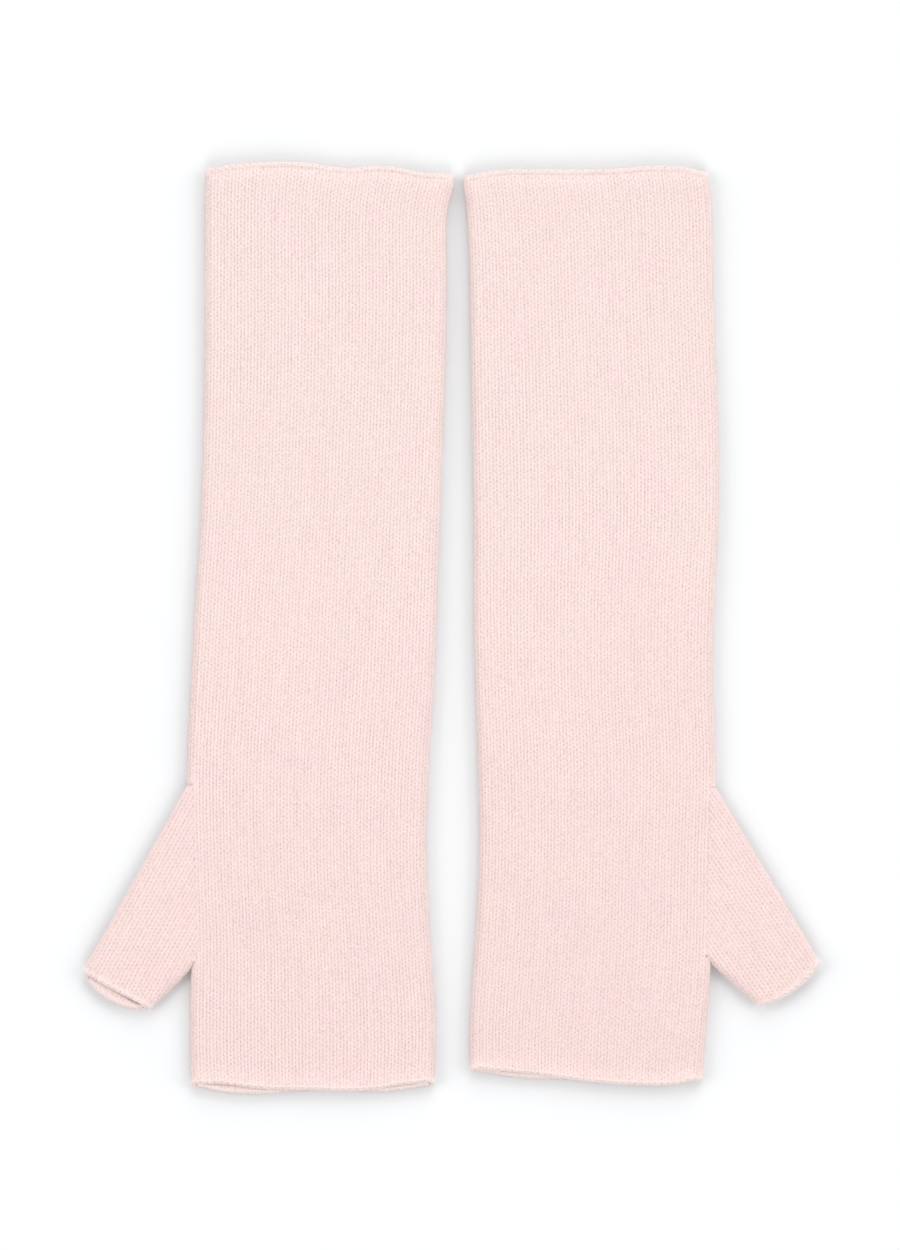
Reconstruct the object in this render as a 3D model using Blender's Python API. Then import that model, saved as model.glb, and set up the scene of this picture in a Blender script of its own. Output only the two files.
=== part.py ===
"""A pair of long fingerless wrist warmers, knitted in the round and laid flat side by side.

Each warmer is a flattened sleeve from the forearm to the knuckles. The fold at the thumb's side has a slit,
where a short slanting thumb tube is linked on. Each of the three mouths ends in a bound edge of its own.

Tables and sizes are in millimetres, and become metres where a mesh is made. X runs across the pair, Y runs
along the sleeves towards the forearm, and Z is up from the surface that the pair lies on.
"""

import math
from collections import namedtuple

import bmesh
import bpy
import numpy as np

MM = 0.001

# Cloth
WALL = 1.8
EDGE_WALL = 2.3
EDGE_TALL = 2.6
EDGE_RISE = 0.3
SEAM_GAP = 0.3
INNER_GAP = 0.5
MOUTH_GAP = 1.5
MOUTH_DEPTH = 14.0

# How far from a mouth its uneven edge still bends the rows of stitches
EDGE_REACH = 40.0

# The thumb's inner fold leaves the slit this far above its lower end, and turns square over this length
CROTCH_CLEARANCE = 2.4
SEAM_EASE = 12.0

# The power of the curve in which a thumb's mouth bows out: a smaller one is fuller towards the corners
BOW_FULLNESS = 0.6

# Grid cells
SLEEVE_CELLS_ACROSS = 12
THUMB_CELLS_ACROSS = 8
FOLD_CELLS = 4
MOUTH_ROW = 4.5
BODY_ROW = 12.0
THUMB_ROW = 8.0

# Colours are linear
Finish = namedtuple("Finish", "name colour roughness")
KNIT = Finish("pink_knit", (0.947, 0.753, 0.723), 0.95)
BOUND_EDGE = Finish("pink_bound_edge", (0.955, 0.775, 0.745), 0.92)
SMOOTH_ANGLE = math.radians(50)

# An outline row gives both edges of a sleeve at one place along it
Outline = namedtuple("Outline", "y left right")
# An edge row gives the place of a mouth's edge at a share of the way across, from left to right
Edge = namedtuple("Edge", "share y")
# A swell is a soft rise or dip of the upper layer, a stretched bell with its long axis turned from Y
Swell = namedtuple("Swell", "x y half_width half_length turn height")
# The slit's ends lie on the fold, and the thumb's mouth runs from its outer fold to its inner fold. Its front
# and back edges bow out past the line between those corners, or a little in where the number is negative.
Thumb = namedtuple("Thumb", "slit_top slit_bottom mouth_outer mouth_inner front_bow back_bow")
Warmer = namedtuple(
    "Warmer",
    "name thumb_side outline arm_front arm_back hand_front hand_back thumb swells",
)

LEFT = Warmer(
    name="left",
    thumb_side=-1,
    outline=(
        Outline(y=170.0, left=-89.5, right=1.5),
        Outline(y=163.0, left=-90.0, right=-0.5),
        Outline(y=155.0, left=-90.0, right=-1.5),
        Outline(y=127.5, left=-90.0, right=-1.5),
        Outline(y=98.5, left=-90.0, right=-2.0),
        Outline(y=69.0, left=-90.5, right=-3.0),
        Outline(y=39.5, left=-91.5, right=-4.0),
        Outline(y=10.0, left=-93.5, right=-5.0),
        Outline(y=-19.5, left=-95.0, right=-6.0),
        Outline(y=-48.5, left=-96.5, right=-8.0),
        Outline(y=-85.5, left=-96.0, right=-9.0),
        Outline(y=-122.0, left=-95.0, right=-7.0),
        Outline(y=-148.0, left=-95.5, right=-5.5),
        Outline(y=-170.0, left=-95.0, right=-6.0),
    ),
    arm_front=(
        Edge(share=0.0, y=168.6),
        Edge(share=0.1, y=170.8),
        Edge(share=0.25, y=171.8),
        Edge(share=0.4, y=171.5),
        Edge(share=0.58, y=169.4),
        Edge(share=0.7, y=170.5),
        Edge(share=0.8, y=169.8),
        Edge(share=0.9, y=167.4),
        Edge(share=1.0, y=166.6),
    ),
    arm_back=(
        Edge(share=0.0, y=168.0),
        Edge(share=0.3, y=169.8),
        Edge(share=0.7, y=168.8),
        Edge(share=1.0, y=166.0),
    ),
    hand_front=(
        Edge(share=0.0, y=-167.5),
        Edge(share=0.11, y=-167.8),
        Edge(share=0.24, y=-169.5),
        Edge(share=0.5, y=-170.1),
        Edge(share=0.75, y=-170.2),
        Edge(share=0.9, y=-168.1),
        Edge(share=1.0, y=-166.8),
    ),
    hand_back=(
        Edge(share=0.0, y=-168.6),
        Edge(share=0.12, y=-171.2),
        Edge(share=0.25, y=-171.7),
        Edge(share=0.45, y=-170.4),
        Edge(share=0.65, y=-170.2),
        Edge(share=0.82, y=-170.9),
        Edge(share=1.0, y=-168.2),
    ),
    thumb=Thumb(
        slit_top=-55.0,
        slit_bottom=-123.5,
        mouth_outer=(-134.6, -126.9),
        mouth_inner=(-110.3, -140.3),
        front_bow=-0.3,
        back_bow=4.0,
    ),
    swells=(
        Swell(x=-62.0, y=118.0, half_width=22.0, half_length=60.0, turn=0.1, height=0.5),
        Swell(x=-20.0, y=30.0, half_width=16.0, half_length=70.0, turn=-0.1, height=0.45),
        Swell(x=-70.0, y=-60.0, half_width=18.0, half_length=46.0, turn=0.15, height=0.5),
        Swell(x=-32.0, y=-120.0, half_width=20.0, half_length=34.0, turn=-0.3, height=0.4),
        Swell(x=-112.0, y=-112.0, half_width=7.0, half_length=24.0, turn=-0.56, height=0.35),
    ),
)

RIGHT = Warmer(
    name="right",
    thumb_side=1,
    outline=(
        Outline(y=168.5, left=5.0, right=95.0),
        Outline(y=162.0, left=6.0, right=95.5),
        Outline(y=155.0, left=6.5, right=96.0),
        Outline(y=127.5, left=7.5, right=96.5),
        Outline(y=98.5, left=8.0, right=97.5),
        Outline(y=69.0, left=8.5, right=98.5),
        Outline(y=39.5, left=9.0, right=98.5),
        Outline(y=10.0, left=9.0, right=97.0),
        Outline(y=-19.5, left=9.5, right=96.5),
        Outline(y=-48.5, left=10.5, right=97.5),
        Outline(y=-85.5, left=11.0, right=96.5),
        Outline(y=-122.0, left=9.0, right=96.0),
        Outline(y=-148.0, left=7.5, right=94.0),
        Outline(y=-167.0, left=7.5, right=92.5),
    ),
    arm_front=(
        Edge(share=0.0, y=165.8),
        Edge(share=0.1, y=168.5),
        Edge(share=0.3, y=169.0),
        Edge(share=0.6, y=169.2),
        Edge(share=0.8, y=170.4),
        Edge(share=0.9, y=170.0),
        Edge(share=1.0, y=167.3),
    ),
    arm_back=(
        Edge(share=0.0, y=165.2),
        Edge(share=0.3, y=167.4),
        Edge(share=0.7, y=168.4),
        Edge(share=1.0, y=166.6),
    ),
    hand_front=(
        Edge(share=0.0, y=-162.0),
        Edge(share=0.12, y=-163.2),
        Edge(share=0.28, y=-164.6),
        Edge(share=0.53, y=-167.2),
        Edge(share=0.8, y=-168.4),
        Edge(share=0.92, y=-168.0),
        Edge(share=1.0, y=-165.9),
    ),
    hand_back=(
        Edge(share=0.0, y=-162.8),
        Edge(share=0.16, y=-165.4),
        Edge(share=0.3, y=-166.0),
        Edge(share=0.53, y=-166.4),
        Edge(share=0.8, y=-167.2),
        Edge(share=1.0, y=-165.2),
    ),
    thumb=Thumb(
        slit_top=-57.0,
        slit_bottom=-122.5,
        mouth_outer=(135.6, -123.3),
        mouth_inner=(113.2, -139.2),
        front_bow=2.0,
        back_bow=1.6,
    ),
    swells=(
        Swell(x=38.0, y=120.0, half_width=20.0, half_length=58.0, turn=-0.1, height=0.5),
        Swell(x=76.0, y=34.0, half_width=17.0, half_length=64.0, turn=0.12, height=0.45),
        Swell(x=30.0, y=-52.0, half_width=18.0, half_length=44.0, turn=0.1, height=0.5),
        Swell(x=70.0, y=-122.0, half_width=20.0, half_length=32.0, turn=0.3, height=0.4),
        Swell(x=113.0, y=-110.0, half_width=7.0, half_length=24.0, turn=0.56, height=0.35),
    ),
)

# A column is one place round a flattened tube: its share of the way across, and its angle on the fold.
# Share 0 is the first fold, and share 1 is the second. The angle is 90 degrees on the upper layer.
Column = namedtuple("Column", "share angle")
# A row is one place along a tube: its height, its wall, and how far both faces of the wall are drawn in
Row = namedtuple("Row", "place tall wall trim")
BandRow = namedtuple("BandRow", "share trim")
BAND_ROWS = (
    BandRow(share=0.0, trim=0.5),
    BandRow(share=0.35, trim=0.0),
    BandRow(share=0.7, trim=0.05),
    BandRow(share=1.0, trim=0.6),
)


def clear_scene():
    """Removes every object, so that the file can be run again."""
    for obj in list(bpy.data.objects):
        bpy.data.objects.remove(obj, do_unlink=True)


def ease(share):
    """A share from 0 to 1 with level ends."""
    share = min(max(share, 0.0), 1.0)
    return share * share * (3.0 - 2.0 * share)


def mix(first, second, share):
    """The value or point at a share of the way from the first to the second."""
    return first + (second - first) * share


def curve_through(points):
    """A function that runs smoothly through (place, value) points and stays level past both ends."""
    places, values = np.array(sorted(points), float).T
    slopes = np.gradient(values, places)

    def value_at(place):
        place = min(max(place, places[0]), places[-1])
        i = min(max(int(np.searchsorted(places, place)) - 1, 0), len(places) - 2)
        width = places[i + 1] - places[i]
        t = (place - places[i]) / width
        start = t * (1.0 - t) ** 2 * width * slopes[i]
        end = t * t * (1.0 - t) * width * slopes[i + 1]
        return mix(values[i], values[i + 1], ease(t)) + start - end

    return value_at


def steps(start, end, spacing):
    """Places from start to end, both included, about a spacing apart."""
    cells = max(1, round(abs(end - start) / spacing))
    return [mix(start, end, i / cells) for i in range(cells + 1)]


def tube_columns(cells_across):
    """The columns round a tube: over the top, round the second fold, back underneath, round the first."""
    quarter = math.pi / 2
    turns = [quarter - math.pi * i / FOLD_CELLS for i in range(FOLD_CELLS)]
    top = [Column(i / cells_across, quarter) for i in range(cells_across)]
    second_fold = [Column(1.0, turn) for turn in turns]
    bottom = [Column(1.0 - i / cells_across, -quarter) for i in range(cells_across)]
    first_fold = [Column(0.0, turn - math.pi) for turn in turns]
    return top + second_fold + bottom + first_fold


def height_at(from_mouth):
    """The height of a tube over both of its layers, which part a little at a mouth."""
    opening = ease(1.0 - from_mouth / MOUTH_DEPTH)
    return 2 * WALL + mix(INNER_GAP, MOUTH_GAP, opening)


def body_row(place, from_mouth):
    """A row of a knitted tube, at a place along it and a distance from its nearest mouth."""
    return Row(place, height_at(from_mouth), WALL, 0.0)


def band_rows(place_at):
    """The rows of a bound edge. place_at turns a distance from the mouth into a place along the tube."""
    return [
        Row(place_at(EDGE_TALL * (1.0 - row.share)), height_at(0.0) + EDGE_RISE, EDGE_WALL, row.trim)
        for row in BAND_ROWS
    ]


class Sleeve:
    """The flattened tube of one warmer. Its first fold is the one at the thumb's side."""

    def __init__(self, warmer):
        self.thumb_side = warmer.thumb_side
        self.arm_end = warmer.outline[0].y
        self.hand_end = warmer.outline[-1].y
        self.left = curve_through([(row.y, row.left) for row in warmer.outline])
        self.right = curve_through([(row.y, row.right) for row in warmer.outline])
        self.arm_edges = curve_through(warmer.arm_back), curve_through(warmer.arm_front)
        self.hand_edges = curve_through(warmer.hand_back), curve_through(warmer.hand_front)

    def fold_line(self, place, share, radius):
        """X of a fold's centre line."""
        if (share == 0.0) == (self.thumb_side < 0):
            return self.left(place) + radius
        return self.right(place) - radius

    def place_at(self, row, column):
        """The centre (X, Y) of the tube's height at a row and column, and the way out of the fold."""
        radius = row.tall / 2
        first = self.fold_line(row.place, 0.0, radius)
        second = self.fold_line(row.place, 1.0, radius)
        from_left = column.share if self.thumb_side < 0 else 1.0 - column.share
        upper = (1.0 + math.sin(column.angle)) / 2
        arm_edge, hand_edge = (
            mix(back(from_left), front(from_left), upper)
            for back, front in (self.arm_edges, self.hand_edges)
        )
        near_arm = ease(1.0 - (self.arm_end - row.place) / EDGE_REACH)
        near_hand = ease(1.0 - (row.place - self.hand_end) / EDGE_REACH)
        y = row.place + (arm_edge - self.arm_end) * near_arm + (hand_edge - self.hand_end) * near_hand
        way_out = self.thumb_side * (1.0 if column.share == 0.0 else -1.0)
        return np.array((mix(first, second, column.share), y)), np.array((way_out, 0.0))

    def body_rows(self, slit_top, slit_bottom):
        """Rows from the forearm to the knuckles, with one at each end of the slit."""
        start = self.arm_end - EDGE_TALL - SEAM_GAP
        end = self.hand_end + EDGE_TALL + SEAM_GAP
        stops = (start, start - MOUTH_DEPTH, slit_top, slit_bottom, end + MOUTH_DEPTH, end)
        spacings = (MOUTH_ROW, BODY_ROW, BODY_ROW, BODY_ROW, MOUTH_ROW)
        places = [start]
        for stop, following, spacing in zip(stops, stops[1:], spacings):
            places += steps(stop, following, spacing)[1:]
        return [body_row(y, min(start - y, y - end)) for y in places]

    def arm_band_rows(self):
        return band_rows(lambda from_mouth: self.arm_end - from_mouth)

    def hand_band_rows(self):
        return band_rows(lambda from_mouth: self.hand_end + from_mouth)


class ThumbTube:
    """The flattened tube of one thumb. Its first fold is the outer one, and its rows fan out from the slit.

    A row's place is the distance from the mouth, measured along the middle of the tube.
    """

    def __init__(self, warmer, sleeve):
        thumb = warmer.thumb
        self.bows = thumb.back_bow, thumb.front_bow
        self.radius = height_at(MOUTH_DEPTH) / 2
        self.side = warmer.thumb_side
        outer, inner = np.array(thumb.mouth_outer), np.array(thumb.mouth_inner)
        across = (inner - outer) / np.linalg.norm(inner - outer)
        self.axis = np.array((across[1], -across[0])) * -self.side
        self.mouth = outer + across * self.radius, inner - across * self.radius
        self.root = (
            self.on_slit(sleeve, thumb.slit_top - SEAM_GAP - self.radius * abs(self.axis[0])),
            self.on_slit(sleeve, thumb.slit_bottom + CROTCH_CLEARANCE + self.radius),
        )
        self.length = np.linalg.norm(sum(self.mouth) - sum(self.root)) / 2

    def on_slit(self, sleeve, y):
        """A point just outside the slit's rim."""
        x = sleeve.fold_line(y, 0.0, self.radius) + self.side * SEAM_GAP
        return np.array((x, y))

    def fold_point(self, place, fold):
        """The centre of fold 0 or 1, at a distance from the mouth."""
        body_end = EDGE_TALL + SEAM_GAP
        end = self.mouth[fold] - self.axis * min(place, body_end)
        back = max(place - body_end, 0.0) / (self.length - body_end)
        return mix(end, self.root[fold], back)

    def place_at(self, row, column):
        """The centre (X, Y) of the tube's height at a row and column, and the way out of the fold."""
        first, second = self.fold_point(row.place, 0), self.fold_point(row.place, 1)
        fold = int(column.share > 0.5)
        run = self.mouth[fold] - self.root[fold]
        square = np.array((-run[1], run[0])) / np.linalg.norm(run)
        away = (first - second) * (1 - 2 * fold)
        square *= math.copysign(1.0, square @ away)
        along_row = away / np.linalg.norm(away)
        turned = ease((self.length - row.place) / SEAM_EASE) if fold else 1.0
        way_out = mix(along_row, square, turned)
        upper = (1.0 + math.sin(column.angle)) / 2
        hump = (4.0 * column.share * (1.0 - column.share)) ** BOW_FULLNESS
        near_mouth = ease(1.0 - row.place / MOUTH_DEPTH)
        bow = mix(*self.bows, upper) * hump * near_mouth
        return mix(first, second, column.share) + self.axis * bow, way_out / np.linalg.norm(way_out)

    def body_rows(self):
        places = steps(self.length, EDGE_TALL + SEAM_GAP, THUMB_ROW)
        return [body_row(place, place - EDGE_TALL - SEAM_GAP) for place in places]

    def mouth_band_rows(self):
        return band_rows(lambda from_mouth: from_mouth)


def swell_height(warmer, x, y):
    """How far the upper layer rises over its lowest height."""
    height = 0.0
    for swell in warmer.swells:
        dx, dy = x - swell.x, y - swell.y
        across = dx * math.cos(swell.turn) + dy * math.sin(swell.turn)
        along = dy * math.cos(swell.turn) - dx * math.sin(swell.turn)
        spread = (across / swell.half_width) ** 2 + (along / swell.half_length) ** 2
        height += swell.height * math.exp(-spread)
    return height


def wall_points(warmer, tube, rows, columns):
    """The outer and inner points of a tube's wall, as two arrays of row, column and XYZ."""
    outer = np.empty((len(rows), len(columns), 3))
    inner = np.empty_like(outer)
    for r, row in enumerate(rows):
        for c, column in enumerate(columns):
            centre, way_out = tube.place_at(row, column)
            upper = (1.0 + math.sin(column.angle)) / 2
            for points, radius in (
                (outer, row.tall / 2 - row.trim),
                (inner, row.tall / 2 - row.wall + row.trim),
            ):
                x, y = centre + way_out * radius * abs(math.cos(column.angle))
                z = row.tall / 2 + radius * math.sin(column.angle)
                points[r, c] = x, y, z + swell_height(warmer, x, y) * upper
    return outer, inner


def slit_cells(rows, columns, thumb):
    """Which cells of a sleeve are cloth: all but those on the first fold between the slit's ends."""
    cloth = np.ones((len(rows) - 1, len(columns)), bool)
    for r, (row, following) in enumerate(zip(rows, rows[1:])):
        middle = (row.place + following.place) / 2
        if thumb.slit_bottom < middle < thumb.slit_top:
            cloth[r, -FOLD_CELLS:] = False
    return cloth


def wall_mesh(name, outer, inner, cloth=None):
    """A closed wall between two grids of points. Where cloth is False the wall has a hole with a rim."""
    rows, columns = outer.shape[:2]
    if cloth is None:
        cloth = np.ones((rows - 1, columns), bool)
    bm = bmesh.new()
    made = {}

    def vert(layer, r, c):
        key = layer, r, c % columns
        if key not in made:
            made[key] = bm.verts.new((inner, outer)[layer][r, c % columns] * MM)
        return made[key]

    def is_cloth(r, c):
        return 0 <= r < rows - 1 and cloth[r, c % columns]

    for r in range(rows - 1):
        for c in range(columns):
            if not cloth[r, c]:
                continue
            corners = (r, c), (r, c + 1), (r + 1, c + 1), (r + 1, c)
            neighbours = (r - 1, c), (r, c + 1), (r + 1, c), (r, c - 1)
            bm.faces.new([vert(1, *corner) for corner in corners])
            bm.faces.new([vert(0, *corner) for corner in reversed(corners)])
            for i, neighbour in enumerate(neighbours):
                if is_cloth(*neighbour):
                    continue
                a, b = corners[i], corners[(i + 1) % 4]
                bm.faces.new((vert(1, *b), vert(1, *a), vert(0, *a), vert(0, *b)))
    bmesh.ops.recalc_face_normals(bm, faces=bm.faces)
    mesh = bpy.data.meshes.new(name)
    bm.to_mesh(mesh)
    bm.free()
    return mesh


def material(name, finish):
    """A Principled material of one plain cloth finish."""
    result = bpy.data.materials.new(f"{name}_{finish.name}")
    result.use_nodes = True
    shader = result.node_tree.nodes["Principled BSDF"]
    shader.inputs["Base Color"].default_value = (*finish.colour, 1.0)
    shader.inputs["Roughness"].default_value = finish.roughness
    shader.inputs["Metallic"].default_value = 0.0
    return result


def add_piece(name, mesh, finish, pair):
    """Adds a mesh to the scene as one piece of the pair."""
    mesh.shade_smooth()
    mesh.set_sharp_from_angle(angle=SMOOTH_ANGLE)
    mesh.materials.append(material(name, finish))
    piece = bpy.data.objects.new(name, mesh)
    piece.parent = pair
    bpy.context.scene.collection.objects.link(piece)


def add_warmer(warmer, pair):
    """Adds the sleeve, the thumb and the three bound edges of one warmer."""
    sleeve = Sleeve(warmer)
    thumb = ThumbTube(warmer, sleeve)
    sleeve_columns = tube_columns(SLEEVE_CELLS_ACROSS)
    thumb_columns = tube_columns(THUMB_CELLS_ACROSS)
    rows = sleeve.body_rows(warmer.thumb.slit_top, warmer.thumb.slit_bottom)
    name = f"{warmer.name}_sleeve"
    outer, inner = wall_points(warmer, sleeve, rows, sleeve_columns)
    cloth = slit_cells(rows, sleeve_columns, warmer.thumb)
    add_piece(name, wall_mesh(name, outer, inner, cloth), KNIT, pair)
    for part, tube, rows, columns, finish in (
        ("thumb", thumb, thumb.body_rows(), thumb_columns, KNIT),
        ("arm_edge", sleeve, sleeve.arm_band_rows(), sleeve_columns, BOUND_EDGE),
        ("hand_edge", sleeve, sleeve.hand_band_rows(), sleeve_columns, BOUND_EDGE),
        ("thumb_edge", thumb, thumb.mouth_band_rows(), thumb_columns, BOUND_EDGE),
    ):
        name = f"{warmer.name}_{part}"
        outer, inner = wall_points(warmer, tube, rows, columns)
        add_piece(name, wall_mesh(name, outer, inner), finish, pair)


def centre_on_origin(meshes):
    """Moves the pair in X and Y, so that the middle of its box lies over the origin."""
    points = np.array([vert.co for mesh in meshes for vert in mesh.vertices])
    middle = (points.min(axis=0) + points.max(axis=0)) / 2
    for mesh in meshes:
        for vert in mesh.vertices:
            vert.co.x -= middle[0]
            vert.co.y -= middle[1]


def main():
    clear_scene()
    pair = bpy.data.objects.new("wrist_warmers", None)
    bpy.context.scene.collection.objects.link(pair)
    for warmer in (LEFT, RIGHT):
        add_warmer(warmer, pair)
    centre_on_origin([piece.data for piece in pair.children])


main()
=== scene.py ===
"""Looks of a pair of long knitted wrist warmers that lie flat side by side.

Each warmer is a plain knitted sleeve with a short slanting thumb tube, linked on at a slit in one fold. Every
mouth has a bound edge with a chain of loops. The stitches of the upper layer and the folds are real relief.
A short nap of loose fibres stands round the outline and, more thinly, on the front. All sizes are in metres,
in the frame of the CAD solids.
"""

import logging
import math
from dataclasses import dataclass, field, replace
from enum import Enum
from typing import Any

import bmesh
import bpy
import numpy as np
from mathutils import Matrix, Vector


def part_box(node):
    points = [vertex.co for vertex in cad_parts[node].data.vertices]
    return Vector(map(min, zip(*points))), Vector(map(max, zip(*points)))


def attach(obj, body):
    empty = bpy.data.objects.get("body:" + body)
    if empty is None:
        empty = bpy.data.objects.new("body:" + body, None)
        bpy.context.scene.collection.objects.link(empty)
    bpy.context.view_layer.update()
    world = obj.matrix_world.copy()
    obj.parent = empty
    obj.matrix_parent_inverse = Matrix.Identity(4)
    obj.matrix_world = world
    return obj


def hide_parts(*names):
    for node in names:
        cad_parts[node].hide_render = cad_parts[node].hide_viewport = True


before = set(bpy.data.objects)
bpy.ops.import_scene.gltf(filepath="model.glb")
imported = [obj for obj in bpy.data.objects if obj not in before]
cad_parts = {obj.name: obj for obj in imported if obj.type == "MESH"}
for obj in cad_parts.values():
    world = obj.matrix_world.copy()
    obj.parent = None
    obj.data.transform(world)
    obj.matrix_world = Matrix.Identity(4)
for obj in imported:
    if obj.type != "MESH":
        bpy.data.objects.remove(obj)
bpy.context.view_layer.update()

log = logging.getLogger("wrist_warmers")


# Node trees


class Graph:
    """A node tree that is filled one node at a time."""

    def __init__(self, tree: bpy.types.NodeTree) -> None:
        """Wraps a tree.

        Args:
            tree: The shader or geometry node tree to fill.
        """
        self.tree = tree

    def node(self, kind: str, values: dict[Any, Any] | None = None, **settings: Any) -> bpy.types.Node:
        """Adds one node.

        Args:
            kind: The node's type identifier.
            values: What goes to each input, by its name or index: an output socket or a plain value.
            settings: Properties of the node itself.

        Returns:
            The new node.
        """
        made = self.tree.nodes.new(kind)
        for name, setting in settings.items():
            setattr(made, name, setting)
        for key, value in (values or {}).items():
            self.feed(made.inputs[key], value)
        return made

    def feed(self, socket: bpy.types.NodeSocket, value: Any) -> None:
        """Links an output socket to an input, or sets the input's own value.

        Args:
            socket: The input socket.
            value: An output socket or a plain value.
        """
        if isinstance(value, bpy.types.NodeSocket):
            self.tree.links.new(value, socket)
        else:
            socket.default_value = value

    def math(self, operation: str, *values: Any) -> bpy.types.NodeSocket:
        """Adds a math node.

        Args:
            operation: The node's operation.
            values: One to three numbers or output sockets.

        Returns:
            The node's result.
        """
        made = self.node("ShaderNodeMath", dict(enumerate(values)), operation=operation)
        return made.outputs[0]

    def blend(self, share: Any, first: Any, second: Any) -> bpy.types.NodeSocket:
        """Mixes two colours.

        Args:
            share: How much of the second colour, from 0 to 1.
            first: The first colour.
            second: The second colour.

        Returns:
            The mixed colour.
        """
        made = self.node("ShaderNodeMix", {0: share, 6: first, 7: second}, data_type="RGBA")
        return made.outputs[2]

    def open_end(self, name: str, end: str, kind: str, value: Any = None) -> None:
        """Adds an input or an output to the tree's own interface.

        Args:
            name: The socket's name.
            end: INPUT or OUTPUT.
            kind: The socket's type identifier.
            value: The default value of an input.
        """
        socket = self.tree.interface.new_socket(name=name, in_out=end, socket_type=kind)
        if value is not None:
            socket.default_value = value

    def open_numbers(self, values: dict[str, float]) -> None:
        """Adds a number input for each name, with its default value."""
        for name, value in values.items():
            self.open_end(name, "INPUT", "NodeSocketFloat", value)


def colour4(colour: tuple[float, float, float]) -> tuple[float, float, float, float]:
    """Adds full opacity to a linear colour."""
    return (*colour, 1.0)


def stitch_height(graph: Graph, wale: Any, course: Any, slant: Any) -> bpy.types.NodeSocket:
    """Adds the nodes for the height of plain knitting, which stands in columns of slanting strands.

    Two strands meet in the middle of each wale. They sink at the middle and at the wale's sides, where each
    of them parts from the next one along in a small pit. Halfway up a strand the groove between two is faint.

    Args:
        graph: A shader or geometry graph.
        wale: The place across, counted in wales.
        course: The place along, counted in courses.
        slant: How many courses a strand climbs from the middle of a wale to its side.

    Returns:
        The height, from 0 in the pits to 1 on the crests.
    """
    fullness, arch_rise, lowest_ridge = 0.75, 0.32, 0.68
    pit_depth, groove_fade = 0.96, -0.86
    across = graph.math("FRACT", wale)
    from_middle = graph.math("ABSOLUTE", graph.math("SUBTRACT", across, 0.5))
    half = graph.math("MULTIPLY", from_middle, 2.0)
    arch = graph.math("ABSOLUTE", graph.math("SINE", graph.math("MULTIPLY", half, math.pi)))
    ridge = graph.math("MULTIPLY_ADD", graph.math("POWER", arch, fullness), arch_rise, lowest_ridge)
    level = graph.node("ShaderNodeMapRange", {0: half}, interpolation_type="SMOOTHSTEP").outputs[0]
    climb = graph.math("MULTIPLY", graph.math("SUBTRACT", level, 0.5), slant)
    along = graph.math("FRACT", graph.math("SUBTRACT", course, climb))
    groove = graph.math("SUBTRACT", 1.0, graph.math("SINE", graph.math("MULTIPLY", along, math.pi)))
    groove_depth = graph.math("MULTIPLY_ADD", arch, groove_fade, pit_depth)
    strand = graph.math("SUBTRACT", 1.0, graph.math("MULTIPLY", groove, groove_depth))
    return graph.math("MULTIPLY", ridge, strand)


def stitch_group() -> bpy.types.NodeTree:
    """Builds the shader group that gives the height of plain knitting and how full each wale is, once.

    Returns:
        The group's tree.
    """
    name = "Plain stitches"
    if name in bpy.data.node_groups:
        return bpy.data.node_groups[name]
    graph = Graph(bpy.data.node_groups.new(name, "ShaderNodeTree"))
    graph.open_end("Wale and Course", "INPUT", "NodeSocketVector")
    graph.open_end("Slant", "INPUT", "NodeSocketFloat", 1.75)
    graph.open_end("Height", "OUTPUT", "NodeSocketFloat")
    graph.open_end("Fullness", "OUTPUT", "NodeSocketFloat")
    ends = graph.node("NodeGroupInput")
    place = graph.node("ShaderNodeSeparateXYZ", {0: ends.outputs["Wale and Course"]})
    height = stitch_height(graph, place.outputs["X"], place.outputs["Y"], ends.outputs["Slant"])
    along_wales = (1.4, 0.07, 1.0)
    streaks = graph.node(
        "ShaderNodeVectorMath", {0: ends.outputs["Wale and Course"], 1: along_wales}, operation="MULTIPLY"
    )
    fullness = graph.node("ShaderNodeTexNoise", {"Vector": streaks.outputs[0], "Scale": 1.0, "Detail": 1.0})
    graph.node("NodeGroupOutput", {"Height": height, "Fullness": fullness.outputs[0]})
    return graph.tree


def fuzz_group() -> bpy.types.NodeTree:
    """Builds the shader group for the brushed fibres, the slow unevenness of the yarn's dye and the painted
    shade towards the hand end, once.

    Returns:
        The group's tree.
    """
    name = "Brushed yarn"
    if name in bpy.data.node_groups:
        return bpy.data.node_groups[name]
    graph = Graph(bpy.data.node_groups.new(name, "ShaderNodeTree"))
    graph.open_numbers({"Fibre Scale": 1900.0, "Patch Scale": 70.0})
    for output in ("Fuzz", "Patches", "Handward"):
        graph.open_end(output, "OUTPUT", "NodeSocketFloat")
    ends = graph.node("NodeGroupInput")
    place = graph.node("ShaderNodeTexCoord").outputs["Object"]
    fibres = graph.node(
        "ShaderNodeTexNoise",
        {"Vector": place, "Scale": ends.outputs["Fibre Scale"], "Detail": 3.0, "Distortion": 1.2},
    )
    patches = graph.node(
        "ShaderNodeTexNoise",
        {"Vector": place, "Scale": ends.outputs["Patch Scale"], "Detail": 2.0, "Roughness": 0.4},
    )
    along = graph.node("ShaderNodeSeparateXYZ", {0: place}).outputs["Y"]
    # Painted shade: the colour darkens from the forearm end towards the hand end, where the light falls off.
    brightest_y, shadiest_y = 0.06, -0.15
    hand_shade_ramp = graph.node("ShaderNodeMapRange", {0: along, 1: brightest_y, 2: shadiest_y}).outputs[0]
    graph.node(
        "NodeGroupOutput",
        {"Fuzz": fibres.outputs[0], "Patches": patches.outputs[0], "Handward": hand_shade_ramp},
    )
    return graph.tree


# Finishes


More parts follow.
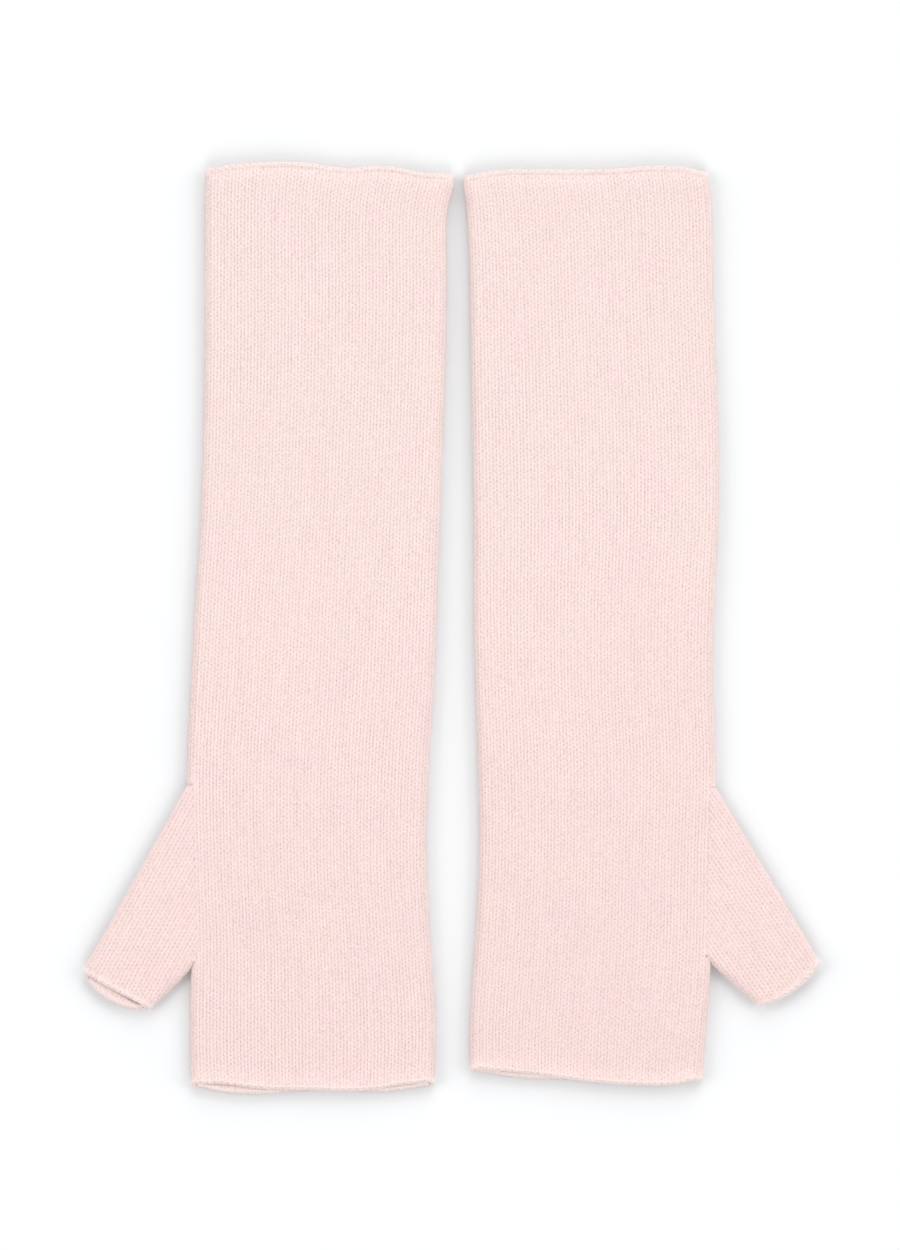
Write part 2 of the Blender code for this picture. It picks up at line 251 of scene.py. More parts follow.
@dataclass(frozen=True)
class YarnFinish:
    """A soft yarn in its dye, with painted shade down between the strands and towards the hand end. Colours
    are linear.

    Attributes:
        name: The material's name.
        crest: The colour on the strands.
        pit: The colour down between the strands, darker as painted shade that falls in the pits.
        warm: The tint of the warmer patches.
        cool: The tint of the cooler patches.
        painted_hand_shade: The tint at the hand end: painted shade, where the light falls off towards the
            hand.
        stitch_depth: How deep the shading's own stitches are.
        slant: How many courses a strand climbs across half a wale.
        sheen: How much the nap catches grazing light.
        roughness: How matt the yarn is.
        fibre_contrast: How much the brushed fibres lighten and darken the stitches.
        streak_contrast: How much fuller wales lighten them.
        fibre_relief: How far the fibres stand up, as a share of the stitches.
    """

    name: str
    crest: tuple[float, float, float]
    pit: tuple[float, float, float]
    warm: tuple[float, float, float]
    cool: tuple[float, float, float]
    painted_hand_shade: tuple[float, float, float]
    stitch_depth: float
    slant: float
    sheen: float
    roughness: float = 0.95
    fibre_contrast: float = 3.0
    streak_contrast: float = 0.3
    fibre_relief: float = 0.6

    def material(self) -> bpy.types.Material:
        """Builds the material, once.

        Returns:
            The material.
        """
        if self.name in bpy.data.materials:
            return bpy.data.materials[self.name]
        material = bpy.data.materials.new(self.name)
        material.use_nodes = True
        graph = Graph(material.node_tree)
        shader = graph.tree.nodes["Principled BSDF"]
        uv = graph.node("ShaderNodeUVMap", uv_map="knit").outputs[0]
        stitches = graph.node("ShaderNodeGroup", node_tree=stitch_group())
        graph.feed(stitches.inputs["Wale and Course"], uv)
        stitches.inputs["Slant"].default_value = self.slant
        yarn = graph.node("ShaderNodeGroup", node_tree=fuzz_group())
        fuzz = graph.math("SUBTRACT", yarn.outputs["Fuzz"], 0.5)
        shade = graph.math("MULTIPLY_ADD", fuzz, self.fibre_contrast, stitches.outputs["Height"])
        fullness = graph.math("SUBTRACT", stitches.outputs["Fullness"], 0.5)
        shade = graph.math("MULTIPLY_ADD", fullness, self.streak_contrast, shade)
        shade = graph.node("ShaderNodeClamp", {0: shade}).outputs[0]
        # Painted shade: the stitch height darkens the colour down between the strands, where shade falls.
        dye_and_shade = graph.blend(shade, colour4(self.pit), colour4(self.crest))
        warmth = graph.node(
            "ShaderNodeMapRange", {0: yarn.outputs["Patches"], 1: 0.35, 2: 0.65}
        ).outputs[0]
        tint = graph.blend(warmth, colour4(self.cool), colour4(self.warm))
        tinted = graph.node(
            "ShaderNodeMix", {0: 1.0, 6: dye_and_shade, 7: tint}, data_type="RGBA", blend_type="MULTIPLY"
        )
        # Painted shade towards the hand end, multiplied over the colour.
        depth = graph.blend(yarn.outputs["Handward"], colour4((1.0, 1.0, 1.0)), colour4(self.painted_hand_shade))
        hand_shaded = graph.node(
            "ShaderNodeMix", {0: 1.0, 6: tinted.outputs[2], 7: depth}, data_type="RGBA", blend_type="MULTIPLY"
        )
        graph.feed(shader.inputs["Base Color"], hand_shaded.outputs[2])
        relief = graph.math("MULTIPLY_ADD", fuzz, self.fibre_relief, stitches.outputs["Height"])
        bump = graph.node(
            "ShaderNodeBump", {"Strength": 0.5, "Distance": self.stitch_depth, "Height": relief}
        )
        graph.feed(shader.inputs["Normal"], bump.outputs[0])
        shader.inputs["Roughness"].default_value = self.roughness
        shader.inputs["Specular IOR Level"].default_value = 0.15
        shader.inputs["Sheen Weight"].default_value = self.sheen
        shader.inputs["Sheen Roughness"].default_value = 0.6
        return material


@dataclass(frozen=True)
class FibreFinish:
    """Yarn or loose fibre that is too fine for stitches of its own: the chains, the linking and the nap.

    Attributes:
        name: The material's name.
        root: The colour of its deeper patches, linear.
        tip: The colour of its paler patches, linear.
        patch_scale: How many patches there are to the metre.
    """

    name: str
    root: tuple[float, float, float]
    tip: tuple[float, float, float]
    patch_scale: float = 400.0

    def material(self) -> bpy.types.Material:
        """Builds the material, once.

        Returns:
            The material.
        """
        if self.name in bpy.data.materials:
            return bpy.data.materials[self.name]
        material = bpy.data.materials.new(self.name)
        material.use_nodes = True
        graph = Graph(material.node_tree)
        shader = graph.tree.nodes["Principled BSDF"]
        yarn = graph.node("ShaderNodeGroup", node_tree=fuzz_group())
        yarn.inputs["Patch Scale"].default_value = self.patch_scale
        dye_and_shade = graph.blend(yarn.outputs["Patches"], colour4(self.root), colour4(self.tip))
        graph.feed(shader.inputs["Base Color"], dye_and_shade)
        shader.inputs["Roughness"].default_value = 0.9
        shader.inputs["Specular IOR Level"].default_value = 0.1
        shader.inputs["Sheen Weight"].default_value = 0.2
        return material


@dataclass(frozen=True)
class PaperFinish:
    """The pale surface that the pair lies on.

    Attributes:
        name: The material's name.
        colour: Its colour, linear.
    """

    name: str = "pale_surface"
    colour: tuple[float, float, float] = (0.751, 0.760, 0.769)

    def material(self) -> bpy.types.Material:
        """Builds the material.

        Returns:
            The material.
        """
        material = bpy.data.materials.new(self.name)
        material.use_nodes = True
        shader = material.node_tree.nodes["Principled BSDF"]
        shader.inputs["Base Color"].default_value = colour4(self.colour)
        shader.inputs["Roughness"].default_value = 1.0
        shader.inputs["Specular IOR Level"].default_value = 0.0
        return material


KNIT = YarnFinish(
    name="brushed_pink_knit",
    crest=(0.830, 0.686, 0.662),
    # Painted shade in the pits.
    pit=(0.606, 0.453, 0.436),
    warm=(1.0, 0.992, 0.975),
    cool=(0.995, 0.98, 0.99),
    # Painted shade towards the hand end.
    painted_hand_shade=(0.976, 0.953, 0.957),
    stitch_depth=0.00018,
    slant=1.75,
    sheen=0.15,
)
# A darker copy of the knit for the thumb, which is the same yarn as the sleeve: painted shade.
SHADED_THUMB_KNIT = replace(
    KNIT, name="brushed_pink_thumb_knit", crest=(0.800, 0.653, 0.630), pit=(0.604, 0.455, 0.440)
)
BOUND_EDGE = replace(
    KNIT,
    name="pink_bound_edge",
    crest=(0.804, 0.682, 0.661),
    pit=(0.670, 0.523, 0.498),
    warm=(1.0, 0.995, 0.985),
    cool=(0.995, 0.985, 0.99),
    painted_hand_shade=(0.98, 0.97, 0.97),
)
CHAIN_YARN = FibreFinish(name="pink_chain_yarn", root=(0.776, 0.645, 0.625), tip=(0.788, 0.682, 0.661))
LINKING_YARN = FibreFinish(name="pink_linking_yarn", root=(0.768, 0.612, 0.588), tip=(0.776, 0.637, 0.612))
LOOSE_FIBRE = FibreFinish(name="loose_pink_fibre", root=(0.79, 0.70, 0.68), tip=(0.80, 0.77, 0.76))


# Geometry node trees


def relief_tree() -> bpy.types.NodeTree:
    """Builds the tree that raises knitted stitches on a skin.

    It reads three point attributes: wale and course, which count the stitches, and relief, which is 1 where
    they stand up and 0 where the skin stays plain.

    Returns:
        The tree.
    """
    name = "Raised stitches"
    if name in bpy.data.node_groups:
        return bpy.data.node_groups[name]
    graph = Graph(bpy.data.node_groups.new(name, "GeometryNodeTree"))
    graph.open_end("Geometry", "INPUT", "NodeSocketGeometry")
    graph.open_numbers({"Depth": 0.0004, "Slant": 1.75, "Unevenness": 0.4})
    graph.open_numbers({"Unevenness Scale": 330.0, "Unevenness Start": 0.0, "Wander": 0.0004})
    graph.open_end("Finish", "INPUT", "NodeSocketMaterial")
    graph.open_end("Geometry", "OUTPUT", "NodeSocketGeometry")
    ends = graph.node("NodeGroupInput")
    wale, course, relief = (
        graph.node("GeometryNodeInputNamedAttribute", {"Name": attribute}).outputs[0]
        for attribute in ("wale", "course", "relief")
    )
    height = stitch_height(graph, wale, course, ends.outputs["Slant"])
    place = graph.node("GeometryNodeInputPosition").outputs[0]
    noise = graph.node(
        "ShaderNodeTexNoise",
        {
            "Vector": place,
            "W": ends.outputs["Unevenness Start"],
            "Scale": ends.outputs["Unevenness Scale"],
            "Detail": 2.0,
        },
        noise_dimensions="4D",
    )
    waves = graph.math("MULTIPLY", graph.math("SUBTRACT", noise.outputs[0], 0.5), ends.outputs["Unevenness"])
    uneven = graph.math("ADD", graph.math("SUBTRACT", height, 0.5), waves)
    lift = graph.math("MULTIPLY", graph.math("MULTIPLY", uneven, ends.outputs["Depth"]), relief)
    normal = graph.node("GeometryNodeInputNormal").outputs[0]
    raised = graph.node("ShaderNodeVectorMath", {0: normal, "Scale": lift}, operation="SCALE")
    astray = graph.node(
        "ShaderNodeVectorMath", {0: noise.outputs["Color"], 1: (0.5, 0.5, 0.5)}, operation="SUBTRACT"
    )
    wander = graph.math("MULTIPLY", relief, ends.outputs["Wander"])
    strayed = graph.node("ShaderNodeVectorMath", {0: astray.outputs[0], "Scale": wander}, operation="SCALE")
    offset = graph.node(
        "ShaderNodeVectorMath", {0: raised.outputs[0], 1: strayed.outputs[0]}, operation="ADD"
    )
    moved = graph.node(
        "GeometryNodeSetPosition", {"Geometry": ends.outputs["Geometry"], "Offset": offset.outputs[0]}
    )
    finish_tree(graph, moved.outputs[0], ends.outputs["Finish"])
    return graph.tree


def finish_tree(graph: Graph, geometry: bpy.types.NodeSocket, material: bpy.types.NodeSocket) -> None:
    """Ends a geometry tree: smooth shading, real meshes in place of instances, and the material.

    Args:
        graph: The tree's graph.
        geometry: What the tree has made.
        material: The material's socket.
    """
    smooth = graph.node("GeometryNodeSetShadeSmooth", {"Geometry": geometry})
    real = graph.node("GeometryNodeRealizeInstances", {"Geometry": smooth.outputs[0]})
    dressed = graph.node(
        "GeometryNodeSetMaterial", {"Geometry": real.outputs[0], "Material": material}
    )
    graph.node("NodeGroupOutput", {"Geometry": dressed.outputs[0]})


def loop_tree() -> bpy.types.NodeTree:
    """Builds the tree that sets one closed loop of yarn at each point of a row.

    It reads two point attributes: along, the way the row runs, and outward, the way out of the cloth.

    Returns:
        The tree.
    """
    name = "Row of loops"
    if name in bpy.data.node_groups:
        return bpy.data.node_groups[name]
    graph = Graph(bpy.data.node_groups.new(name, "GeometryNodeTree"))
    graph.open_end("Geometry", "INPUT", "NodeSocketGeometry")
    graph.open_numbers({"Loop Length": 0.003, "Loop Width": 0.0012, "Yarn Radius": 0.0003})
    graph.open_numbers({"Tilt": 0.12, "Turn": 0.0})
    graph.open_end("Seed", "INPUT", "NodeSocketInt", 1)
    graph.open_end("Finish", "INPUT", "NodeSocketMaterial")
    graph.open_end("Geometry", "OUTPUT", "NodeSocketGeometry")
    ends = graph.node("NodeGroupInput")
    ring = graph.node("GeometryNodeCurvePrimitiveCircle", {"Resolution": 10, "Radius": 0.5})
    shape = graph.node(
        "ShaderNodeCombineXYZ",
        {"X": ends.outputs["Loop Length"], "Y": ends.outputs["Loop Width"], "Z": 1.0},
    )
    oval = graph.node(
        "GeometryNodeTransform", {"Geometry": ring.outputs[0], "Scale": shape.outputs[0]}
    )
    yarn = graph.node(
        "GeometryNodeCurvePrimitiveCircle", {"Resolution": 5, "Radius": ends.outputs["Yarn Radius"]}
    )
    strand = graph.node(
        "GeometryNodeCurveToMesh", {"Curve": oval.outputs[0], "Profile Curve": yarn.outputs[0]}
    )
    along, outward = (
        graph.node(
            "GeometryNodeInputNamedAttribute", {"Name": attribute}, data_type="FLOAT_VECTOR"
        ).outputs[0]
        for attribute in ("along", "outward")
    )
    upright = graph.node("FunctionNodeAlignRotationToVector", {"Vector": outward}, axis="Z")
    facing = graph.node(
        "FunctionNodeAlignRotationToVector",
        {"Rotation": upright.outputs[0], "Vector": along},
        axis="X",
        pivot_axis="Z",
    )
    widest_stray = 0.12
    stray = graph.node(
        "FunctionNodeRandomValue", {2: -widest_stray, 3: widest_stray, "Seed": ends.outputs["Seed"]}
    ).outputs[1]
    lean = graph.node(
        "ShaderNodeCombineXYZ",
        {
            "X": stray,
            "Y": ends.outputs["Tilt"],
            "Z": graph.math("ADD", ends.outputs["Turn"], stray),
        },
    )
    leaning = graph.node("FunctionNodeEulerToRotation", {0: lean.outputs[0]})
    turned = graph.node(
        "FunctionNodeRotateRotation",
        {"Rotation": facing.outputs[0], "Rotate By": leaning.outputs[0]},
        rotation_space="LOCAL",
    )
    points = graph.node("GeometryNodeMeshToPoints", {"Mesh": ends.outputs["Geometry"]})
    loops = graph.node(
        "GeometryNodeInstanceOnPoints",
        {"Points": points.outputs[0], "Instance": strand.outputs[0], "Rotation": turned.outputs[0]},
    )
    finish_tree(graph, loops.outputs[0], ends.outputs["Finish"])
    return graph.tree


def nap_tree() -> bpy.types.NodeTree:
    """Builds the tree that scatters bent tapering fibres over a carrier surface.

    Returns:
        The tree.
    """
    name = "Standing nap"
    if name in bpy.data.node_groups:
        return bpy.data.node_groups[name]
    graph = Graph(bpy.data.node_groups.new(name, "GeometryNodeTree"))
    graph.open_end("Geometry", "INPUT", "NodeSocketGeometry")
    graph.open_numbers({"Density": 2.0e6, "Length": 0.0014, "Fibre Radius": 0.00003, "Spread": 0.8})
    graph.open_end("Seed", "INPUT", "NodeSocketInt", 1)
    graph.open_end("Finish", "INPUT", "NodeSocketMaterial")
    graph.open_end("Geometry", "OUTPUT", "NodeSocketGeometry")
    ends = graph.node("NodeGroupInput")
    length, seed, spread = (ends.outputs[key] for key in ("Length", "Seed", "Spread"))
    bend_share, shortest = 0.55, 0.35
    cone = graph.node(
        "GeometryNodeMeshCone",
        {
            "Vertices": 3,
            "Side Segments": 2,
            "Radius Top": 0.0,
            "Radius Bottom": ends.outputs["Fibre Radius"],
            "Depth": length,
        },
        fill_type="NGON",
    )
    place = graph.node("ShaderNodeSeparateXYZ", {0: graph.node("GeometryNodeInputPosition").outputs[0]})
    up = graph.math("DIVIDE", place.outputs["Z"], length)
    farthest = graph.math("MULTIPLY", length, bend_share)
    bend = graph.math("MULTIPLY", graph.math("MULTIPLY", up, up), farthest)
    fibre = graph.node(
        "GeometryNodeSetPosition",
        {
            "Geometry": cone.outputs[0],
            "Offset": graph.node("ShaderNodeCombineXYZ", {"X": bend}).outputs[0],
        },
    )
    points = graph.node(
        "GeometryNodeDistributePointsOnFaces",
        {"Mesh": ends.outputs["Geometry"], "Density": ends.outputs["Density"], "Seed": seed},
    )
    lean = graph.node(
        "FunctionNodeRandomValue",
        {0: (-1.0, -1.0, -3.14), 1: (1.0, 1.0, 3.14), "Seed": seed},
        data_type="FLOAT_VECTOR",
    )
    tilt = graph.node(
        "ShaderNodeVectorMath", {0: lean.outputs[0], "Scale": spread}, operation="SCALE"
    )
    leaning = graph.node("FunctionNodeEulerToRotation", {0: tilt.outputs[0]})
    turned = graph.node(
        "FunctionNodeRotateRotation",
        {"Rotation": points.outputs["Rotation"], "Rotate By": leaning.outputs[0]},
        rotation_space="LOCAL",
    )
    size = graph.node("FunctionNodeRandomValue", {2: shortest, 3: 1.0, "Seed": seed}).outputs[1]
    nap = graph.node(
        "GeometryNodeInstanceOnPoints",
        {
            "Points": points.outputs[0],
            "Instance": fibre.outputs[0],
            "Rotation": turned.outputs[0],
            "Scale": size,
        },
    )
    real = graph.node("GeometryNodeRealizeInstances", {"Geometry": nap.outputs[0]})
    spot = graph.node("ShaderNodeSeparateXYZ", {0: graph.node("GeometryNodeInputPosition").outputs[0]})
    lifted = graph.node(
        "ShaderNodeCombineXYZ",
        {
            "X": spot.outputs["X"],
            "Y": spot.outputs["Y"],
            "Z": graph.math("MAXIMUM", spot.outputs["Z"], ends.outputs["Fibre Radius"]),
        },
    )
    above = graph.node(
        "GeometryNodeSetPosition", {"Geometry": real.outputs[0], "Position": lifted.outputs[0]}
    )
    finish_tree(graph, above.outputs[0], ends.outputs["Finish"])
    return graph.tree


def run_tree(piece: bpy.types.Object, tree: bpy.types.NodeTree, values: dict[str, Any]) -> None:
    """Runs a geometry tree on a piece and keeps the result as the piece's plain mesh.

    Args:
        piece: The object whose mesh goes in and is replaced.
        tree: The geometry tree.
        values: The tree's inputs by name.
    """
    modifier = piece.modifiers.new(tree.name, "NODES")
    modifier.node_group = tree
    for item in tree.interface.items_tree:
        if item.item_type == "SOCKET" and item.in_out == "INPUT" and item.name in values:
            modifier[item.identifier] = values[item.name]
    depsgraph = bpy.context.evaluated_depsgraph_get()
    result = bpy.data.meshes.new_from_object(piece.evaluated_get(depsgraph), depsgraph=depsgraph)
    piece.modifiers.clear()
    carrier = piece.data
    piece.data = result
    bpy.data.meshes.remove(carrier)
    result.name = piece.name


# Reading the CAD solids


class Layer(Enum):
    """Which layer of a flattened tube is meant."""

    FRONT = "front"
    BACK = "back"


@dataclass
class SolidReader:
    """Reads how far CAD solids reach where an upright plane cuts them.

    Attributes:
        nodes: The CAD nodes that are read together.
        middle: The height between the front and the back layer.
        triangles: The nodes' triangles, worked out from them: triangle, corner and XYZ.
    """

    nodes: tuple[str, ...]
    middle: float = 0.0023
    triangles: np.ndarray = field(init=False)

    def __post_init__(self) -> None:
        """Collects the triangles of the nodes."""
        found = []
        for name in self.nodes:
            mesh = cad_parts[name].data
            mesh.calc_loop_triangles()
            points = np.empty(len(mesh.vertices) * 3, np.float32)
            mesh.vertices.foreach_get("co", points)
            corners = np.empty(len(mesh.loop_triangles) * 3, np.int32)
            mesh.loop_triangles.foreach_get("vertices", corners)
            found.append(points.reshape(-1, 3)[corners.reshape(-1, 3)].astype(float))
        self.triangles = np.concatenate(found)

    def reach(
        self, along: np.ndarray, across: np.ndarray, place: float, layer: Layer | None = None
    ) -> tuple[float, float]:
        """Cuts the solids with the plane at a place along one direction.

        Args:
            along: The direction that the plane is square to, in X and Y.
            across: The direction that is measured, in X and Y.
            place: The plane's place along the first direction.
            layer: The layer that is read, or None for both.

        Returns:
            The lowest and the highest place across, in the cut.
        """
        triangles = self.triangles
        if layer:
            is_front = triangles[:, :, 2].mean(axis=1) > self.middle
            triangles = triangles[is_front if layer is Layer.FRONT else ~is_front]
        s = triangles[:, :, :2] @ along - place
        q = triangles[:, :, :2] @ across
        found = []
        for a, b in ((0, 1), (1, 2), (2, 0)):
            cut = s[:, a] * s[:, b] < 0
            share = s[cut, a] / (s[cut, a] - s[cut, b])
            found.append(q[cut, a] + (q[cut, b] - q[cut, a]) * share)
        cuts = np.concatenate(found)
        return float(cuts.min()), float(cuts.max())


# Shapes of the flattened tubes


@dataclass(frozen=True)
class Gauge:
    """The knitting's gauge and the cloth's thickness.

    Attributes:
        course: The height of one course.
        thumb_wale: The width of one wale of the thumb.
        thumb_course: The height of one course of the thumb.
        wall: The thickness of the knitted cloth.
        edge_wall: The thickness of a bound edge.
        edge_tall: The height of a bound edge.
        edge_rise: How much higher a bound edge lies than the tube at its mouth.
        edge_tuck: How far the knitting is tucked into a bound edge.
        inner_gap: The space between the front and the back layer.
        mouth_gap: The same space at a mouth.
        mouth_depth: How far from a mouth the layers start to part.
        edge_reach: How far from a mouth its uneven edge bends the courses.
        depth: The height of the stitches' relief.
        edge_depth: The same on a bound edge.
        unevenness: How much the relief's height varies, as a share of it.
        slant: How many courses a strand climbs across half a wale.
    """

    course: float = 0.0016
    thumb_wale: float = 0.00282
    thumb_course: float = 0.00152
    wall: float = 0.0018
    edge_wall: float = 0.0019
    edge_tall: float = 0.0026
    edge_rise: float = 0.0001
    edge_tuck: float = 0.0009
    inner_gap: float = 0.0005
    mouth_gap: float = 0.0006
    mouth_depth: float = 0.014
    edge_reach: float = 0.040
    depth: float = 0.00052
    edge_depth: float = 0.00036
    unevenness: float = 0.55
    slant: float = 1.75


GAUGE = Gauge()
X_WAY = np.array((1.0, 0.0))
Y_WAY = np.array((0.0, 1.0))


@dataclass(frozen=True)
class Swell:
    """A soft rise of the upper layer, a stretched bell.

    Attributes:
        x: X of its middle.
        y: Y of its middle.
        half_width: Half its width, where it has sunk to a third.
        half_length: Half its length, read in the same way.
        turn: How far its long axis is turned from Y, in radians.
        height: Its height.
    """

    x: float
    y: float
    half_width: float
    half_length: float
    turn: float
    height: float

    def lift(self, x: np.ndarray, y: np.ndarray) -> np.ndarray:
        """The swell's height at places in X and Y.

        Args:
            x: The places' X.
            y: The places' Y.

        Returns:
            The heights.
        """
        dx, dy = x - self.x, y - self.y
        across = dx * math.cos(self.turn) + dy * math.sin(self.turn)
        along = dy * math.cos(self.turn) - dx * math.sin(self.turn)
        spread = (across / self.half_width) ** 2 + (along / self.half_length) ** 2
        return self.height * np.exp(-spread)


def ease(share: np.ndarray) -> np.ndarray:
    """A share from 0 to 1 with level ends."""
    share = np.clip(share, 0.0, 1.0)
    return share * share * (3.0 - 2.0 * share)


def tall_at(from_mouth: np.ndarray) -> np.ndarray:
    """The height of a tube over both of its layers, at a distance from its mouth."""
    opening = ease(1.0 - from_mouth / GAUGE.mouth_depth)
    return 2 * GAUGE.wall + GAUGE.inner_gap + (GAUGE.mouth_gap - GAUGE.inner_gap) * opening


@dataclass
class Round:
    """Places round a tube: over the front, round the second fold, back underneath and round the first fold.

    Attributes:
        wale: The count of wales, from 0 to the whole way round, with the closing place at the end.
        front_wales: How many wales lie on the flat front.
        fold_wales: How many wales lie round one fold.
    """

    wale: np.ndarray
    front_wales: float
    fold_wales: float

    @property
    def whole(self) -> float:
        """How many wales there are all round."""
        return 2.0 * (self.front_wales + self.fold_wales)

    @property
    def share(self) -> np.ndarray:
        """The share of the way across from the first fold to the second, without the closing place.

        Returns:
            The share at each place, from 0 to 1.
        """
        wale, front, fold = self.wale[:-1], self.front_wales, self.fold_wales
        outward = np.clip(wale / front, 0.0, 1.0)
        backward = np.clip((2 * front + fold - wale) / front, 0.0, 1.0)
        return np.where(wale < front + fold, outward, backward)

    @property
    def angle(self) -> np.ndarray:
        """The angle round a fold, which is a right angle all over the front.

        Returns:
            The angle at each place, in radians.
        """
        wale, front, fold = self.wale[:-1], self.front_wales, self.fold_wales
        second = np.clip((wale - front) / fold, 0.0, 1.0)
        first = np.clip((wale - 2 * front - fold) / fold, 0.0, 1.0)
        return math.pi / 2 - math.pi * (second + first)

    @property
    def upper(self) -> np.ndarray:
        """How much of each place belongs to the front layer, from 0 to 1."""
        return (1.0 + np.sin(self.angle)) / 2

    @property
    def relief(self) -> np.ndarray:
        """How far the stitches stand up: in full on the front and the folds, and not underneath."""
        plain_below, growth = 0.97, 0.6
        return ease((np.sin(self.angle) + plain_below) / growth)


def round_of(front_wales: int, fold_wales: int, cells: tuple[int, int, int]) -> Round:
    """Sets out the places round a tube.

    Args:
        front_wales: How many wales lie on the flat front.
        fold_wales: How many wales lie round one fold.
        cells: How many cells lie across the front, round one fold and across the back.

    Returns:
        The places.
    """
    stops = np.cumsum((0, front_wales, fold_wales, front_wales, fold_wales))
    front, fold, back = cells
    runs = [
        np.linspace(stops[i], stops[i + 1], count, endpoint=False)
        for i, count in enumerate((front, fold, back, fold))
    ]
    return Round(np.append(np.concatenate(runs), stops[-1]), front_wales, fold_wales)


@dataclass
class Skin:
    """One skin of a tube's wall, as rows of points that each run all round.

    Attributes:
        points: Row, column and XYZ.
        wale: The count of wales at each point, with the closing column at the end.
        course: The count of courses at each point.
        relief: How far the stitches stand up at each point.
        round_share: The share of the way round at each column.
        hole: The first and last row and the first and last column of an opening, or None.
    """

    points: np.ndarray
    wale: np.ndarray
    course: np.ndarray
    relief: np.ndarray
    round_share: np.ndarray
    hole: tuple[int, int, int, int] | None = None

    def quads(self, start: int) -> tuple[np.ndarray, np.ndarray]:
        """The skin's faces and the texture place of each of their corners.

        Args:
            start: The index of the skin's first point.

        Returns:
            Four point indices and four texture places for each face.
        """
        rows, columns = self.points.shape[:2]
        r, c = np.meshgrid(np.arange(rows - 1), np.arange(columns), indexing="ij")
        keep = np.ones(r.shape, bool)
        if self.hole:
            low, high, first, last = self.hole
            keep[low:high, first:last] = False
        r, c = r[keep], c[keep]
        following = (c + 1) % columns
        corners = ((r, c, c), (r, following, c + 1), (r + 1, following, c + 1), (r + 1, c, c))
        faces = np.stack([start + row * columns + column for row, column, _ in corners], axis=1)
        places = [
            np.stack([self.wale[row, open_column], self.course[row, column]], axis=1)
            for row, column, open_column in corners
        ]
        return faces, np.stack(places, axis=1)

    def rims(self, start: int) -> list[tuple[np.ndarray, np.ndarray]]:
        """The closed loops of points round the skin's mouths and opening.

        Args:
            start: The index of the skin's first point.

        Returns:
            For each loop its point indices and how far along the loop each of them is, from 0 to 1.
        """
        rows, columns = self.points.shape[:2]
        ring = np.arange(columns)
        loops = [
            (start + ring, self.round_share),
            (start + (rows - 1) * columns + ring, self.round_share),
        ]
        if self.hole:
            low, high, first, last = self.hole
            heights = np.linspace(0.0, 1.0, high - low + 1)
            turns = np.linspace(0.0, 1.0, last - first + 1)
            up = [(r, first) for r in range(low, high)]
            over = [(high, c) for c in range(first, last)]
            down = [(r, last) for r in range(high, low, -1)]
            back = [(low, c) for c in range(last, first, -1)]
            at = [heights[:-1], 1.0 + turns[:-1], 2.0 + heights[:-1], 3.0 + turns[:-1]]
            indices = [start + r * columns + c % columns for r, c in up + over + down + back]
            loops.append((np.array(indices), np.concatenate(at) / 4.0))
        return loops


def bridge(
    first: tuple[np.ndarray, np.ndarray], second: tuple[np.ndarray, np.ndarray]
) -> list[tuple[int, int, int]]:
    """Joins two closed loops of points that run the same way with a strip of triangles.

    Args:
        first: Point indices and their places along the first loop.
        second: The same for the second loop.

    Returns:
        The triangles.
    """
    (a, a_at), (b, b_at) = first, second
    a_next, b_next = np.append(a_at[1:], 1.0), np.append(b_at[1:], 1.0)
    triangles = []
    i = j = 0
    while i < len(a) or j < len(b):
        if j == len(b) or (i < len(a) and a_next[i] <= b_next[j]):
            triangles.append((a[i], a[(i + 1) % len(a)], b[j % len(b)]))
            i += 1
        else:
            triangles.append((a[i % len(a)], b[(j + 1) % len(b)], b[j]))
            j += 1
    return triangles


def wall_mesh(name: str, outer: Skin, inner: Skin) -> bpy.types.Mesh:
    """Makes one closed wall from its outer and inner skins.

    Args:
        name: The mesh's name.
        outer: The outer skin, whose stitches stand up.
        inner: The inner skin, which stays plain.

    Returns:
        The mesh, with the stitch counts as point attributes and as a UV map.
    """
    points, attributes, faces, places = [], [], [], []
    start = 0
    rims = []
    for skin in (outer, inner):
        count = skin.points.shape[0] * skin.points.shape[1]
        points.append(skin.points.reshape(-1, 3))
        attributes.append(
            np.stack([skin.wale[:, :-1].ravel(), skin.course.ravel(), skin.relief.ravel()], axis=1)
        )
        quads, corners = skin.quads(start)
        if skin is inner:
            quads, corners = quads[:, ::-1], corners[:, ::-1]
        faces += quads.tolist()
        places.append(corners.reshape(-1, 2))
        rims.append(skin.rims(start))
        start += count
    all_points = np.concatenate(points)
    counts = np.concatenate(attributes)
    for outer_rim, inner_rim in zip(*rims):
        strip = bridge(outer_rim, inner_rim)
        faces += strip
        places.append(counts[np.array(strip).ravel(), :2])
    return closed_mesh(name, all_points, faces, np.concatenate(places), counts)


